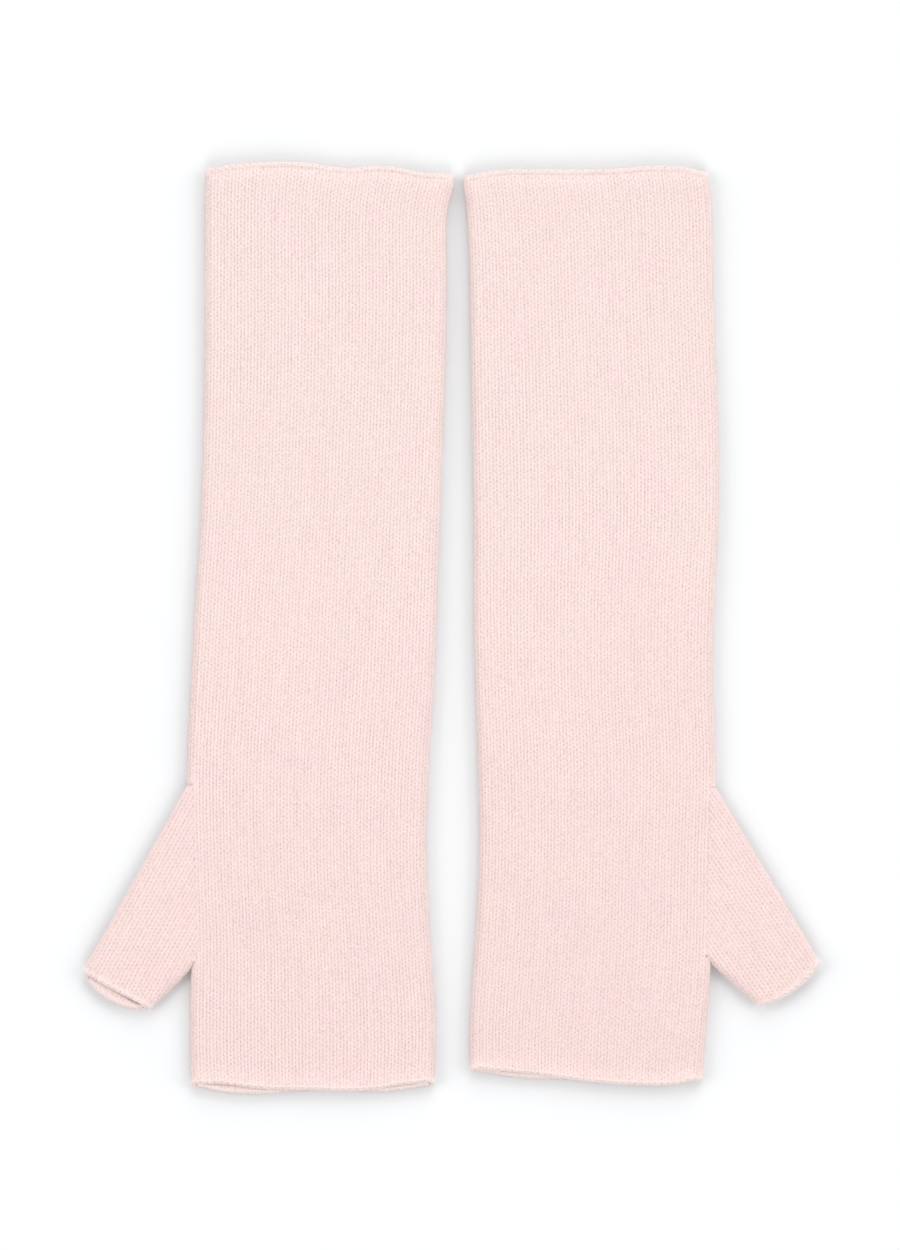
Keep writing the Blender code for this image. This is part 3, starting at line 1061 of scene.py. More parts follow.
def closed_mesh(
    name: str, points: np.ndarray, faces: list[Any], places: np.ndarray, counts: np.ndarray
) -> bpy.types.Mesh:
    """Makes a mesh of a closed surface, with its faces turned outwards and no loose points.

    Args:
        name: The mesh's name.
        points: The points.
        faces: Point indices of each face.
        places: The texture place of each corner, in the faces' order.
        counts: The wale, course and relief of each point.

    Returns:
        The mesh.
    """
    mesh = bpy.data.meshes.new(name)
    mesh.from_pydata(points, [], faces)
    uv = mesh.uv_layers.new(name="knit")
    uv.data.foreach_set("uv", places.astype(np.float32).ravel())
    for i, attribute in enumerate(("wale", "course", "relief")):
        mesh.attributes.new(attribute, "FLOAT", "POINT").data.foreach_set(
            "value", counts[:, i].astype(np.float32)
        )
    bm = bmesh.new()
    bm.from_mesh(mesh)
    loose = [vert for vert in bm.verts if not vert.link_faces]
    bmesh.ops.delete(bm, geom=loose, context="VERTS")
    bmesh.ops.recalc_face_normals(bm, faces=bm.faces)
    bm.to_mesh(mesh)
    bm.free()
    mesh.shade_smooth()
    return mesh


def add_object(name: str, mesh: bpy.types.Mesh) -> bpy.types.Object:
    """Adds a mesh to the scene as an object at the origin.

    Args:
        name: The object's name.
        mesh: Its mesh.

    Returns:
        The object.
    """
    piece = bpy.data.objects.new(name, mesh)
    bpy.context.scene.collection.objects.link(piece)
    return piece


@dataclass
class Strip:
    """A strip of surface that loose fibres stand on.

    Attributes:
        points: Row, column and XYZ.
        core: Points under the strip, on the side away from the fibres.
    """

    points: np.ndarray
    core: np.ndarray

    def faces(self, start: int) -> list[list[int]]:
        """The strip's faces, turned away from its core.

        Args:
            start: The index of the strip's first point.

        Returns:
            Four point indices for each face.
        """
        rows, columns = self.points.shape[:2]
        r, c = np.meshgrid(np.arange(rows - 1), np.arange(columns - 1), indexing="ij")
        corner = (start + r * columns + c).ravel()
        quads = np.stack([corner, corner + 1, corner + columns + 1, corner + columns], axis=1)
        down = self.points[1:, :-1] - self.points[:-1, :-1]
        right = self.points[:-1, 1:] - self.points[:-1, :-1]
        away = self.points[:-1, :-1] - self.core[:-1, :-1]
        turned = float((np.cross(right, down) * away).sum())
        return (quads if turned > 0 else quads[:, ::-1]).tolist()


@dataclass
class FlatTube:
    """A flattened tube that lies on the surface.

    Subclasses say where its folds, ends and mouths are, how tall it is, and how many wales it has.

    Attributes:
        swells: The soft rises of the front.
        plumpness: How much thicker the back layer is where it shows past the front, as a share of itself.
        plump_start: How far behind the front's edge it starts to grow thicker.
        plump_reach: Over what length it grows to its whole thickness.
    """

    swells: tuple[Swell, ...]
    plumpness: float = field(default=0.95, init=False)
    plump_start: float = field(default=0.0008, init=False)
    plump_reach: float = field(default=0.0009, init=False)

    def from_mouth(self, mouth: str, distance: Any) -> Any:
        """The station at a distance from a mouth.

        Args:
            mouth: The mouth's name.
            distance: The distance from its edge.

        Returns:
            The station.
        """
        raise NotImplementedError

    def strip(self, wale: np.ndarray, start: float, end: float) -> Strip:
        """A part of the outside where loose fibres stand.

        Args:
            wale: The places round the tube, in wales.
            start: The station where it starts.
            end: The station where it ends.

        Returns:
            The strip.
        """
        rows, outside, halfway_in = 60, 0.5, 0.25
        places = Round(np.append(wale, 0.0), self.front_wales, self.fold_wales)
        station = np.linspace(start, end, rows)[:, None]
        tall = self.tall(station)
        outer, core = (
            self.skin_points(places.share, places.angle, station, tall, tall * share)
            for share in (outside, halfway_in)
        )
        return Strip(outer, core)

    def fold_strip(self, is_first: bool, start: float, end: float) -> Strip:
        """The upper three quarters of a fold, between two stations.

        Args:
            is_first: Whether it is the first fold.
            start: The station where the strip starts.
            end: The station where it ends.

        Returns:
            The strip.
        """
        front, fold = self.front_wales, self.fold_wales
        from_top = np.linspace(0.0, 0.75 * fold, 8)
        return self.strip(2 * (front + fold) - from_top if is_first else front + from_top, start, end)

    def front_strip(self) -> Strip:
        """The whole flat front."""
        return self.strip(np.linspace(0.0, self.front_wales, 30), *self.ends)

    def middle_line(
        self, share: np.ndarray, angle: np.ndarray, station: np.ndarray, tall: np.ndarray
    ) -> tuple[np.ndarray, np.ndarray]:
        """The place of the folds' centre lines, and of what lies between them.

        Args:
            share: The share of the way across, from the first fold to the second.
            angle: The angle round a fold.
            station: The place along the tube.
            tall: The tube's height there.

        Returns:
            X and Y of the centre, and X and Y of the way out of the fold.
        """
        raise NotImplementedError

    def skin_points(
        self,
        share: np.ndarray,
        angle: np.ndarray,
        station: np.ndarray,
        tall: np.ndarray,
        radius: np.ndarray,
    ) -> np.ndarray:
        """Points on one skin of the tube.

        Args:
            share: The share of the way across, from the first fold to the second.
            angle: The angle round a fold.
            station: The place along the tube.
            tall: The tube's height there.
            radius: The skin's distance from the folds' centre lines.

        Returns:
            The points, with XYZ as the last axis.
        """
        centre, way_out = self.middle_line(share, angle, station, tall)
        flat = centre + way_out * (radius * np.abs(np.cos(angle)))[..., None]
        upper = (1.0 + np.sin(angle)) / 2
        lift = sum(swell.lift(flat[..., 0], flat[..., 1]) for swell in self.swells)
        height = tall / 2 + radius * np.sin(angle) + lift * upper
        past = self.overhang(share, station) + self.plump_start
        plump = self.plumpness * ease(past / self.plump_reach) * (1.0 - upper)
        return np.concatenate([flat, (height * (1.0 + plump))[..., None]], axis=-1)

    def overhang(self, share: np.ndarray, station: np.ndarray) -> np.ndarray:
        """How far the back layer reaches past the front layer's edge.

        Args:
            share: The share of the way across, from the first fold to the second.
            station: The place along the tube.

        Returns:
            The distance past the edge, which is negative where the front covers it.
        """
        raise NotImplementedError


@dataclass(frozen=True)
class ThumbPlan:
    """Where a thumb tube starts and ends, in X and Y.

    Attributes:
        slit_top: Y of the upper end of the notch for the slit in the sleeve's CAD solid.
        slit_bottom: Y of its lower end.
        root_top: Y where the outer fold leaves the sleeve.
        root_bottom: Y of the crotch, where the inner fold does.
        mouth_outer: The mouth's corner on the outer fold.
        mouth_inner: The mouth's corner on the inner fold.
        front_bow: How far the mouth's front edge bows out past the line between its corners.
        back_bow: How far its back edge does.
        fullness: The power of the bow's curve. A smaller one is fuller towards the corners.
    """

    slit_top: float
    slit_bottom: float
    root_top: float
    root_bottom: float
    mouth_outer: tuple[float, float]
    mouth_inner: tuple[float, float]
    front_bow: float
    back_bow: float
    fullness: float = 0.6


@dataclass
class Sleeve(FlatTube):
    """The long tube from the forearm to the knuckles. Its first fold is at the thumb's side.

    A station is a place in Y, before the uneven mouths bend the courses.

    Attributes:
        side: The warmer's side of the photograph, left or right.
        plan: The thumb tube's plan.
        front_wales: How many wales lie on the flat front.
        fold_wales: How many wales lie round one fold.
        cells_per_wale: How many cells each wale of the front and the folds is divided into.
        reading_step: The distance between two places where the CAD outline is read.
        thumb_way: The way to the thumb's side in X, worked out from the side: -1 or 1.
        mouths: X and Y along each mouth's edge, on each layer, read from the CAD solids.
        arm_end: The station of the forearm's mouth.
        hand_end: The station of the hand's mouth.
        outline_y: The places in Y where the outline is read.
        outline_left: X of the left side there.
        outline_right: X of the right side there.
    """

    side: str
    plan: ThumbPlan
    front_wales: int = 34
    fold_wales: int = 3
    cells_per_wale: int = 4
    reading_step: float = 0.004
    thumb_way: float = field(init=False)
    mouths: dict[tuple[str, Layer], tuple[np.ndarray, np.ndarray]] = field(init=False)
    arm_end: float = field(init=False)
    hand_end: float = field(init=False)
    outline_y: np.ndarray = field(init=False)
    outline_left: np.ndarray = field(init=False)
    outline_right: np.ndarray = field(init=False)

    def __post_init__(self) -> None:
        """Reads the mouths and the outline from the CAD solids."""
        self.thumb_way = -1.0 if self.side == "left" else 1.0
        self.read_mouths()
        self.read_outline()

    def read_mouths(self) -> None:
        """Reads the edges of both mouths, on the front and on the back."""
        margin, corner_reach, places = 0.004, 0.012, 40
        self.mouths = {}
        for mouth, highest, inset in (("arm", True, -0.0008), ("hand", False, 0.0003)):
            reader = SolidReader((f"{self.side}_{mouth}_edge",))
            low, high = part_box(f"{self.side}_{mouth}_edge")
            x = np.linspace(low[0] + margin, high[0] - margin, places)
            for layer in Layer:
                y = np.array([reader.reach(X_WAY, Y_WAY, place, layer)[highest] for place in x])
                from_corner = np.minimum(x - x[0], x[-1] - x)
                self.mouths[mouth, layer] = x, y + inset * ease(from_corner / corner_reach)
        self.arm_end = float(self.mouths["arm", Layer.FRONT][1].mean())
        self.hand_end = float(self.mouths["hand", Layer.FRONT][1].mean())

    def read_outline(self) -> None:
        """Reads where both folds run. Along the slit the cloth ends at the middle of the fold."""
        parts = ("sleeve", "arm_edge", "hand_edge")
        reader = SolidReader(tuple(f"{self.side}_{part}" for part in parts))
        top = min(self.mouths["arm", layer][1].min() for layer in Layer)
        bottom = max(self.mouths["hand", layer][1].max() for layer in Layer)
        margin = 0.0008
        even_places = np.arange(bottom + margin, top - margin, self.reading_step)
        self.outline_y = np.append(even_places, top - margin)
        reaches = [reader.reach(Y_WAY, X_WAY, y) for y in self.outline_y]
        self.outline_left, self.outline_right = np.array(reaches).T
        in_slit = (self.outline_y > self.plan.slit_bottom) & (self.outline_y < self.plan.slit_top)
        thumb_side = self.outline_left if self.thumb_way < 0 else self.outline_right
        thumb_side[in_slit] += self.thumb_way * tall_at(GAUGE.mouth_depth) / 2

    def fold_x(self, station: Any, first: bool, tall: Any) -> np.ndarray:
        """X of a fold's centre line.

        Args:
            station: The place along the sleeve.
            first: Whether it is the fold at the thumb's side.
            tall: The tube's height there.

        Returns:
            X of the centre line.
        """
        on_left = first == (self.thumb_way < 0)
        rim = self.outline_left if on_left else self.outline_right
        inward = 1.0 if on_left else -1.0
        return np.interp(station, self.outline_y, rim) + inward * tall / 2

    def middle_line(
        self, share: np.ndarray, angle: np.ndarray, station: np.ndarray, tall: np.ndarray
    ) -> tuple[np.ndarray, np.ndarray]:
        """The place of the folds' centre lines, and of what lies between them.

        Args:
            share: The share of the way across, from the first fold to the second.
            angle: The angle round a fold.
            station: The place along the tube.
            tall: The tube's height there.

        Returns:
            X and Y of the centre, and X and Y of the way out of the fold.
        """
        share, angle, station, tall = np.broadcast_arrays(share, angle, station, tall)
        first, second = self.fold_x(station, True, tall), self.fold_x(station, False, tall)
        x = first + (second - first) * share
        upper = (1.0 + np.sin(angle)) / 2
        y = station.copy()
        for mouth, end, distance in (
            ("arm", self.arm_end, self.arm_end - station),
            ("hand", self.hand_end, station - self.hand_end),
        ):
            front, back = (np.interp(x, *self.mouths[mouth, layer]) for layer in Layer)
            edge = back + (front - back) * upper
            y = y + (edge - end) * ease(1.0 - distance / GAUGE.edge_reach)
        way_out = np.where(share < 0.5, self.thumb_way, -self.thumb_way)
        return np.stack([x, y], axis=-1), np.stack([way_out, np.zeros_like(x)], axis=-1)

    def overhang(self, share: np.ndarray, station: np.ndarray) -> np.ndarray:
        """How far the back layer reaches past the front layer's edge, at the nearer mouth.

        Args:
            share: The share of the way across, from the first fold to the second.
            station: The place along the sleeve.

        Returns:
            The distance past the edge, which is negative where the front covers it.
        """
        tall = tall_at(0.0)
        first, second = self.fold_x(station, True, tall), self.fold_x(station, False, tall)
        x = first + (second - first) * share
        past = []
        for mouth, way, distance in (
            ("arm", 1.0, self.arm_end - station),
            ("hand", -1.0, station - self.hand_end),
        ):
            front, back = (np.interp(x, *self.mouths[mouth, layer]) for layer in Layer)
            past.append(way * (back - front) - distance)
        return np.maximum(*past)

    def from_mouth(self, mouth: str, distance: Any) -> Any:
        """The station at a distance from the arm or the hand mouth."""
        return self.arm_end - distance if mouth == "arm" else self.hand_end + distance

    @property
    def ends(self) -> tuple[float, float]:
        """The stations of the knitted tube's two ends, which stop short of the bound edges."""
        short = GAUGE.edge_tall - GAUGE.edge_tuck
        return self.hand_end + short, self.arm_end - short

    def tall(self, station: np.ndarray) -> np.ndarray:
        """The tube's height at a station."""
        low, high = self.ends
        return tall_at(np.minimum(station - low, high - station))

    def outer_skin(self) -> Skin:
        """Sets out the knitted outer skin, with its rows slanted along the strands.

        Returns:
            The outer skin, with an opening at the slit.
        """
        slant_fade, relief_fade = 3.0, 0.8
        per_wale = self.cells_per_wale
        places = round_of(
            self.front_wales,
            self.fold_wales,
            (self.front_wales * per_wale, self.fold_wales * per_wale, self.front_wales // 2),
        )
        wale = places.wale[:-1]
        low, high = self.ends
        courses = round((high - low) / GAUGE.course)
        rows = np.arange(2 * courses + 1)[:, None] / 2.0
        slit_ends = (self.plan.root_bottom, self.plan.root_top)
        slit_rows = [round(2 * courses * (y - low) / (high - low)) for y in slit_ends]
        from_middle = np.abs(np.mod(wale, 1.0) - 0.5) * 2.0
        from_middle = np.where(places.relief > 0.0, from_middle, 0.5)
        from_end = np.minimum(rows, courses - rows)
        fade = ease(from_end / slant_fade)
        near_slit = np.min([np.abs(rows - row / 2.0) for row in slit_rows], axis=0)
        beside_slit = (wale >= places.whole - self.fold_wales) | (wale < 1.0)
        fade = fade * np.where(beside_slit, ease(near_slit / slant_fade), 1.0)
        course = rows + GAUGE.slant * (from_middle - 0.5) * fade
        station = low + (high - low) * course / courses
        tall = self.tall(station)
        first_column = len(wale) - self.fold_wales * per_wale
        return Skin(
            points=self.skin_points(places.share, places.angle, station, tall, tall / 2),
            wale=np.broadcast_to(places.wale, (len(rows), len(places.wale))),
            course=course,
            relief=places.relief * ease(from_end / relief_fade),
            round_share=wale / places.whole,
            hole=(slit_rows[0], slit_rows[1], first_column, len(wale)),
        )

    def inner_skin(self, outer: Skin) -> Skin:
        """Sets out the plain inner skin, with the same mouths and the same opening.

        Args:
            outer: The outer skin.

        Returns:
            The inner skin.
        """
        flat_cells, fold_cells = 24, 4
        places = round_of(self.front_wales, self.fold_wales, (flat_cells, fold_cells, flat_cells))
        low, high = self.ends
        rows = outer.points.shape[0] - 1
        slit = [low + (high - low) * row / rows for row in outer.hole[:2]]
        stops = (low, low + GAUGE.mouth_depth, *slit, high - GAUGE.mouth_depth, high)
        cells = (16, 2, 8, 16, 16)
        runs = [
            np.linspace(stops[i], stops[i + 1], count, endpoint=False) for i, count in enumerate(cells)
        ]
        station = np.append(np.concatenate(runs), high)[:, None]
        tall = self.tall(station)
        points = self.skin_points(places.share, places.angle, station, tall, tall / 2 - GAUGE.wall)
        columns = len(places.wale) - 1
        return Skin(
            points=points,
            wale=np.broadcast_to(places.wale, (len(station), columns + 1)),
            course=np.broadcast_to((station - low) / GAUGE.course, points.shape[:2]),
            relief=np.zeros(points.shape[:2]),
            round_share=places.wale[:-1] / places.whole,
            hole=(cells[0] + cells[1], sum(cells[:3]), columns - fold_cells, columns),
        )

    def nap_strips(self) -> list[Strip]:
        """The parts of both folds where loose fibres stand, on either side of the slit.

        Returns:
            The strips.
        """
        low, high = self.ends
        return [
            self.fold_strip(False, low, high),
            self.fold_strip(True, low, self.plan.root_bottom),
            self.fold_strip(True, self.plan.root_top, high),
        ]


@dataclass
class ThumbTube(FlatTube):
    """The short slanting tube of the thumb. Its first fold is the outer one, away from the sleeve.

    A station is the distance from the mouth along the middle of the tube. The rows fan out from the slit.

    Attributes:
        sleeve: The sleeve that the tube is linked to.
        front_wales: How many wales lie on the flat front at the mouth.
        fold_wales: How many wales lie round one fold.
        overlap: How far the root goes in under the sleeve's rim.
        duck: How far the root's outside is drawn in, so that it lies under the sleeve's.
        duck_length: Over what length from the slit it is drawn in.
        seam_ease: Over what length from the slit the inner fold turns square to its own line.
        across: The way across the mouth, from the outer fold to the inner one.
        axis: The way out of the mouth.
        mouth: Where both folds' centre lines end at the mouth.
        root: Where they start at the slit.
        length: The length of the tube's middle.
    """

    sleeve: Sleeve
    front_wales: int = 10
    fold_wales: int = 2
    overlap: float = 0.0006
    duck: float = 0.00018
    duck_length: float = 0.0022
    seam_ease: float = 0.012
    across: np.ndarray = field(init=False)
    axis: np.ndarray = field(init=False)
    mouth: tuple[np.ndarray, np.ndarray] = field(init=False)
    root: tuple[np.ndarray, np.ndarray] = field(init=False)
    length: float = field(init=False)

    def __post_init__(self) -> None:
        """Works out both folds' centre lines."""
        plan, way = self.sleeve.plan, self.sleeve.thumb_way
        radius = tall_at(GAUGE.mouth_depth) / 2
        outer, inner = np.array(plan.mouth_outer), np.array(plan.mouth_inner)
        self.across = (inner - outer) / np.linalg.norm(inner - outer)
        self.axis = np.array((self.across[1], -self.across[0])) * -way
        self.mouth = outer + self.across * radius, inner - self.across * radius
        self.root = self.on_slit(plan.root_top), self.on_slit(plan.root_bottom + radius)
        self.length = float(np.linalg.norm(sum(self.mouth) - sum(self.root)) / 2)

    def on_slit(self, y: float) -> np.ndarray:
        """A point just under the slit's rim, at a place in Y."""
        rim = self.sleeve.fold_x(y, True, tall_at(GAUGE.mouth_depth))
        return np.array((rim - self.sleeve.thumb_way * self.overlap, y))

    @property
    def ends(self) -> tuple[float, float]:
        """The stations of the knitted tube's two ends: next to the bound edge, and at the slit."""
        return GAUGE.edge_tall - GAUGE.edge_tuck, self.length

    def from_mouth(self, mouth: str, distance: Any) -> Any:
        """The station at a distance from the mouth, which is that distance."""
        return distance

    def tall(self, station: np.ndarray) -> np.ndarray:
        """The tube's height at a station."""
        return tall_at(station - self.ends[0])

    def fold_points(self, station: np.ndarray, fold: int) -> np.ndarray:
        """The centre line of fold 0 or 1.

        Args:
            station: The distance from the mouth.
            fold: Which fold.

        Returns:
            Points in X and Y.
        """
        short = self.ends[0]
        end = self.mouth[fold] - self.axis * np.minimum(station, short)[..., None]
        back = np.maximum(station - short, 0.0) / (self.length - short)
        return end + (self.root[fold] - end) * back[..., None]

    def middle_line(
        self, share: np.ndarray, angle: np.ndarray, station: np.ndarray, tall: np.ndarray
    ) -> tuple[np.ndarray, np.ndarray]:
        """The place of the folds' centre lines, and of what lies between them.

        Args:
            share: The share of the way across, from the first fold to the second.
            angle: The angle round a fold.
            station: The place along the tube.
            tall: The tube's height there.

        Returns:
            X and Y of the centre, and X and Y of the way out of the fold.
        """
        share, angle, station, tall = np.broadcast_arrays(share, angle, station, tall)
        first, second = self.fold_points(station, 0), self.fold_points(station, 1)
        ways = []
        for fold, away in enumerate((first - second, second - first)):
            along_row = away / np.linalg.norm(away, axis=-1, keepdims=True)
            run = self.mouth[fold] - self.root[fold]
            square = np.array((-run[1], run[0])) / np.linalg.norm(run)
            square = square * np.sign(along_row @ square)[..., None]
            turned = ease((self.length - station) / self.seam_ease)[..., None] if fold else 1.0
            way = along_row + (square - along_row) * turned
            ways.append(way / np.linalg.norm(way, axis=-1, keepdims=True))
        way_out = np.where(share[..., None] < 0.5, *ways)
        upper = (1.0 + np.sin(angle)) / 2
        plan = self.sleeve.plan
        hump = self.hump(share, station)
        bow = (plan.back_bow + (plan.front_bow - plan.back_bow) * upper) * hump
        return first + (second - first) * share[..., None] + self.axis * bow[..., None], way_out

    def hump(self, share: np.ndarray, station: np.ndarray) -> np.ndarray:
        """How much of the mouth's bow a place has, from 0 to 1."""
        across = (4.0 * share * (1.0 - share)) ** self.sleeve.plan.fullness
        return across * ease(1.0 - station / GAUGE.mouth_depth)

    def overhang(self, share: np.ndarray, station: np.ndarray) -> np.ndarray:
        """How far the back layer reaches past the front layer's edge, negative where the front covers it."""
        plan = self.sleeve.plan
        return (plan.back_bow - plan.front_bow) * self.hump(share, station) - station

    def skin(self, cells: tuple[int, int, int], rows: int, inset: float, is_raised: bool) -> Skin:
        """Sets out one skin of the tube.

        Args:
            cells: How many cells lie across the front, round one fold and across the back.
            rows: How many rows of cells there are.
            inset: How far the skin lies inside the tube's outside.
            is_raised: Whether its stitches stand up.

        Returns:
            The skin.
        """
        relief_fade = 3.0
        places = round_of(self.front_wales, self.fold_wales, cells)
        station = np.linspace(*self.ends, rows + 1)[:, None]
        tall = self.tall(station)
        drawn_in = self.duck * ease(1.0 - (self.length - station) / self.duck_length)
        radius = tall / 2 - inset - drawn_in
        points = self.skin_points(places.share, places.angle, station, tall, radius)
        centre = self.middle_line(places.share, places.angle, station, tall)[0] - self.mouth[0]
        wale = centre @ self.across / GAUGE.thumb_wale
        is_first = places.share < 0.5
        turned = np.where(is_first, -1.5 * math.pi - places.angle, math.pi / 2 - places.angle)
        turned = np.where(places.angle == math.pi / 2, 0.0, turned)
        wale = wale + turned * tall / 2 / GAUGE.thumb_wale
        course = -(centre @ self.axis) / GAUGE.thumb_course
        from_end = np.minimum(np.arange(rows + 1), rows - np.arange(rows + 1))[:, None]
        raised = places.relief * ease(from_end / relief_fade)
        relief = raised if is_raised else np.zeros((rows + 1, 1))
        return Skin(
            points=points,
            wale=np.concatenate([wale, wale[:, :1]], axis=1),
            course=course,
            relief=np.broadcast_to(relief, wale.shape),
            round_share=places.wale[:-1] / places.whole,
        )

    def nap_strips(self) -> list[Strip]:
        """The parts of both folds where loose fibres stand."""
        low, high = self.ends
        return [self.fold_strip(is_first, low, high - self.duck_length) for is_first in (True, False)]


# Edges, seams and nap


@dataclass
class BoundEdge:
    """The bound edge of one mouth: a plump rolled lip with a chain of loops along it.

    Attributes:
        name: The piece's name.
        tube: The tube that it closes off.
        mouth: The mouth's name.
        section_cells: How many cells lie round the lip's section.
        section_courses: How many courses lie round it.
        cells_per_wale: How many cells lie along each wale.
        plumpness: How much fuller the lip is in places, as a share of its size.
        squareness: The power of the section's rounded square.
        loop_length: The length of a loop of the chain.
        loop_width: Its width.
        loop_yarn: The radius of its yarn.
        loop_tilt: How far a loop leans up along the chain, in radians.
        loop_place: How far the loops lie from the mouth's edge.
        sink: How far their middles lie below the lip's face.
        seed: What the lip's unevenness and the loops' stray start from.
    """

    name: str
    tube: FlatTube
    mouth: str
    section_cells: int = 36
    section_courses: int = 6
    cells_per_wale: int = 6
    plumpness: float = 0.10
    squareness: float = 3.0
    loop_length: float = 0.0028
    loop_width: float = 0.0012
    loop_yarn: float = 0.00030
    loop_tilt: float = 0.16
    loop_place: float = 0.0008
    sink: float = 0.00018
    seed: int = 1

    def section(self, turn: np.ndarray, places: Round) -> tuple[np.ndarray, np.ndarray, float]:
        """Points of the lip's section.

        Args:
            turn: Angles round the section, from the mouth's side.
            places: The places round the tube.

        Returns:
            The distance from the mouth and from the folds' centre lines, and the tube's height.
        """
        power = 2.0 / self.squareness
        along, out = (np.sign(f) * np.abs(f) ** power for f in (np.cos(turn), np.sin(turn)))
        wale = places.wale[:-1]
        each_wale = np.cos(2 * math.pi * wale)
        slow = np.sin(wale * 2.3) * np.cos(wale * 1.9)
        full = 1.0 + self.plumpness * (0.4 * each_wale + 0.6 * slow) * places.upper
        tall = float(tall_at(np.array(0.0))) + GAUGE.edge_rise
        distance = GAUGE.edge_tall / 2 * (1.0 - along * full)
        half_wall = GAUGE.edge_wall / 2
        radius = (tall - GAUGE.edge_wall) / 2 + half_wall * out * np.where(places.upper > 0.5, full, 1.0)
        return distance, radius, tall

    def lip(self) -> bpy.types.Object:
        """Builds the lip as a closed ring.

        Returns:
            The lip.
        """
        tube = self.tube
        cells = (
            tube.front_wales * self.cells_per_wale,
            tube.fold_wales * self.cells_per_wale,
            tube.front_wales * 2,
        )
        places = round_of(tube.front_wales, tube.fold_wales, cells)
        turn = np.linspace(0.0, 2 * math.pi, self.section_cells, endpoint=False)[:, None]
        distance, radius, tall = self.section(turn, places)
        station = tube.from_mouth(self.mouth, distance)
        points = tube.skin_points(places.share, places.angle, station, np.full_like(radius, tall), radius)
        rows, columns = points.shape[:2]
        r, c = (index.ravel() for index in np.meshgrid(np.arange(rows), np.arange(columns), indexing="ij"))
        corners = ((r, c), (r, c + 1), (r + 1, c + 1), (r + 1, c))
        faces = np.stack([row % rows * columns + column % columns for row, column in corners], axis=1)
        course = np.arange(rows + 1) / rows * self.section_courses
        uv = [np.stack([places.wale[column], course[row]], axis=1) for row, column in corners]
        relief = places.relief * ease(np.sin(turn) + 0.9)
        wale, around = np.broadcast_arrays(places.wale[:-1], course[:-1, None])
        counts = np.stack([wale.ravel(), around.ravel(), relief.ravel()], axis=1)
        texture_places = np.stack(uv, axis=1).reshape(-1, 2)
        mesh = closed_mesh(self.name, points.reshape(-1, 3), faces.tolist(), texture_places, counts)
        piece = add_object(self.name, mesh)
        values = {
            "Depth": GAUGE.edge_depth,
            "Slant": GAUGE.slant,
            "Unevenness": GAUGE.unevenness,
            "Unevenness Start": float(self.seed),
            "Finish": BOUND_EDGE.material(),
        }
        run_tree(piece, relief_tree(), values)
        return piece

    def chain(self) -> bpy.types.Object:
        """Builds the chain of loops: a loop to each wale, over the front and on the inside of the back.

        Returns:
            The chain.
        """
        step, deeper_place, toward_mouth = 0.05, 0.0018, 0.7
        tube = self.tube
        front, fold = tube.front_wales, tube.fold_wales
        outside = np.arange(front) + 0.5
        inside = outside + front + fold
        tall = float(tall_at(np.array(0.0))) + GAUGE.edge_rise
        found = []
        for wale, inset, facing in (
            (outside, self.sink, 1.0),
            (inside, GAUGE.edge_wall - self.sink, -1.0),
        ):
            before, after = (
                self.row_points(wale + shift, self.loop_place, tall, tall / 2 - inset)
                for shift in (-step, step)
            )
            deeper = self.row_points(wale, deeper_place, tall, tall / 2 - inset)
            core = self.row_points(wale, self.loop_place, tall, tall / 2 - GAUGE.edge_wall / 2)
            place = (before + after) / 2
            outward = facing * unit(facing * (place - core)) + toward_mouth * unit(place - deeper)
            found.append(np.concatenate([place, unit(after - before), unit(outward)], axis=1))
        piece = self.points_piece(f"{self.name}_chain", np.concatenate(found))
        values = {
            "Loop Length": self.loop_length,
            "Loop Width": self.loop_width,
            "Yarn Radius": self.loop_yarn,
            "Tilt": self.loop_tilt,
            "Seed": self.seed,
            "Finish": CHAIN_YARN.material(),
        }
        run_tree(piece, loop_tree(), values)
        return piece

    def row_points(self, wale: np.ndarray, distance: float, tall: float, radius: float) -> np.ndarray:
        """Points along the mouth.

        Args:
            wale: The places round the tube, in wales.
            distance: The distance from the mouth's edge.
            tall: The tube's height.
            radius: The distance from the folds' centre lines.

        Returns:
            The points.
        """
        places = Round(np.append(wale, 0.0), self.tube.front_wales, self.tube.fold_wales)
        station = np.full(len(wale), self.tube.from_mouth(self.mouth, distance))
        heights, radii = np.full(len(wale), tall), np.full(len(wale), radius)
        return self.tube.skin_points(places.share, places.angle, station, heights, radii)

    @staticmethod
    def points_piece(name: str, rows: np.ndarray) -> bpy.types.Object:
        """Makes an object of loose points with the ways along and outward.

        Args:
            name: The object's name.
            rows: The place, the way along and the way outward of each point.

        Returns:
            The object.
        """
        mesh = bpy.data.meshes.new(name)
        mesh.from_pydata(rows[:, :3].tolist(), [], [])
        for attribute, first in (("along", 3), ("outward", 6)):
            layer = mesh.attributes.new(attribute, "FLOAT_VECTOR", "POINT")
            layer.data.foreach_set("vector", rows[:, first : first + 3].astype(np.float32).ravel())
        return add_object(name, mesh)

    def nap_strips(self) -> list[Strip]:
        """The mouth's side of the lip, all round.

        Returns:
            The strip, in a list.
        """
        tube = self.tube
        flat_cells, fold_cells, rows = 60, 8, 5
        places = round_of(tube.front_wales, tube.fold_wales, (flat_cells, fold_cells, flat_cells))
        turn = np.linspace(-1.0, 1.0, rows)[:, None]
        distance, radius, tall = self.section(turn, places)
        heights = np.full_like(radius, tall)
        points = tube.skin_points(
            places.share, places.angle, tube.from_mouth(self.mouth, distance), heights, radius
        )
        middle = np.full_like(radius, (tall - GAUGE.edge_wall) / 2)
        inner_station = tube.from_mouth(self.mouth, np.full_like(radius, GAUGE.edge_tall / 2))
        core = tube.skin_points(places.share, places.angle, inner_station, heights, middle)
        return [Strip(points, core)]


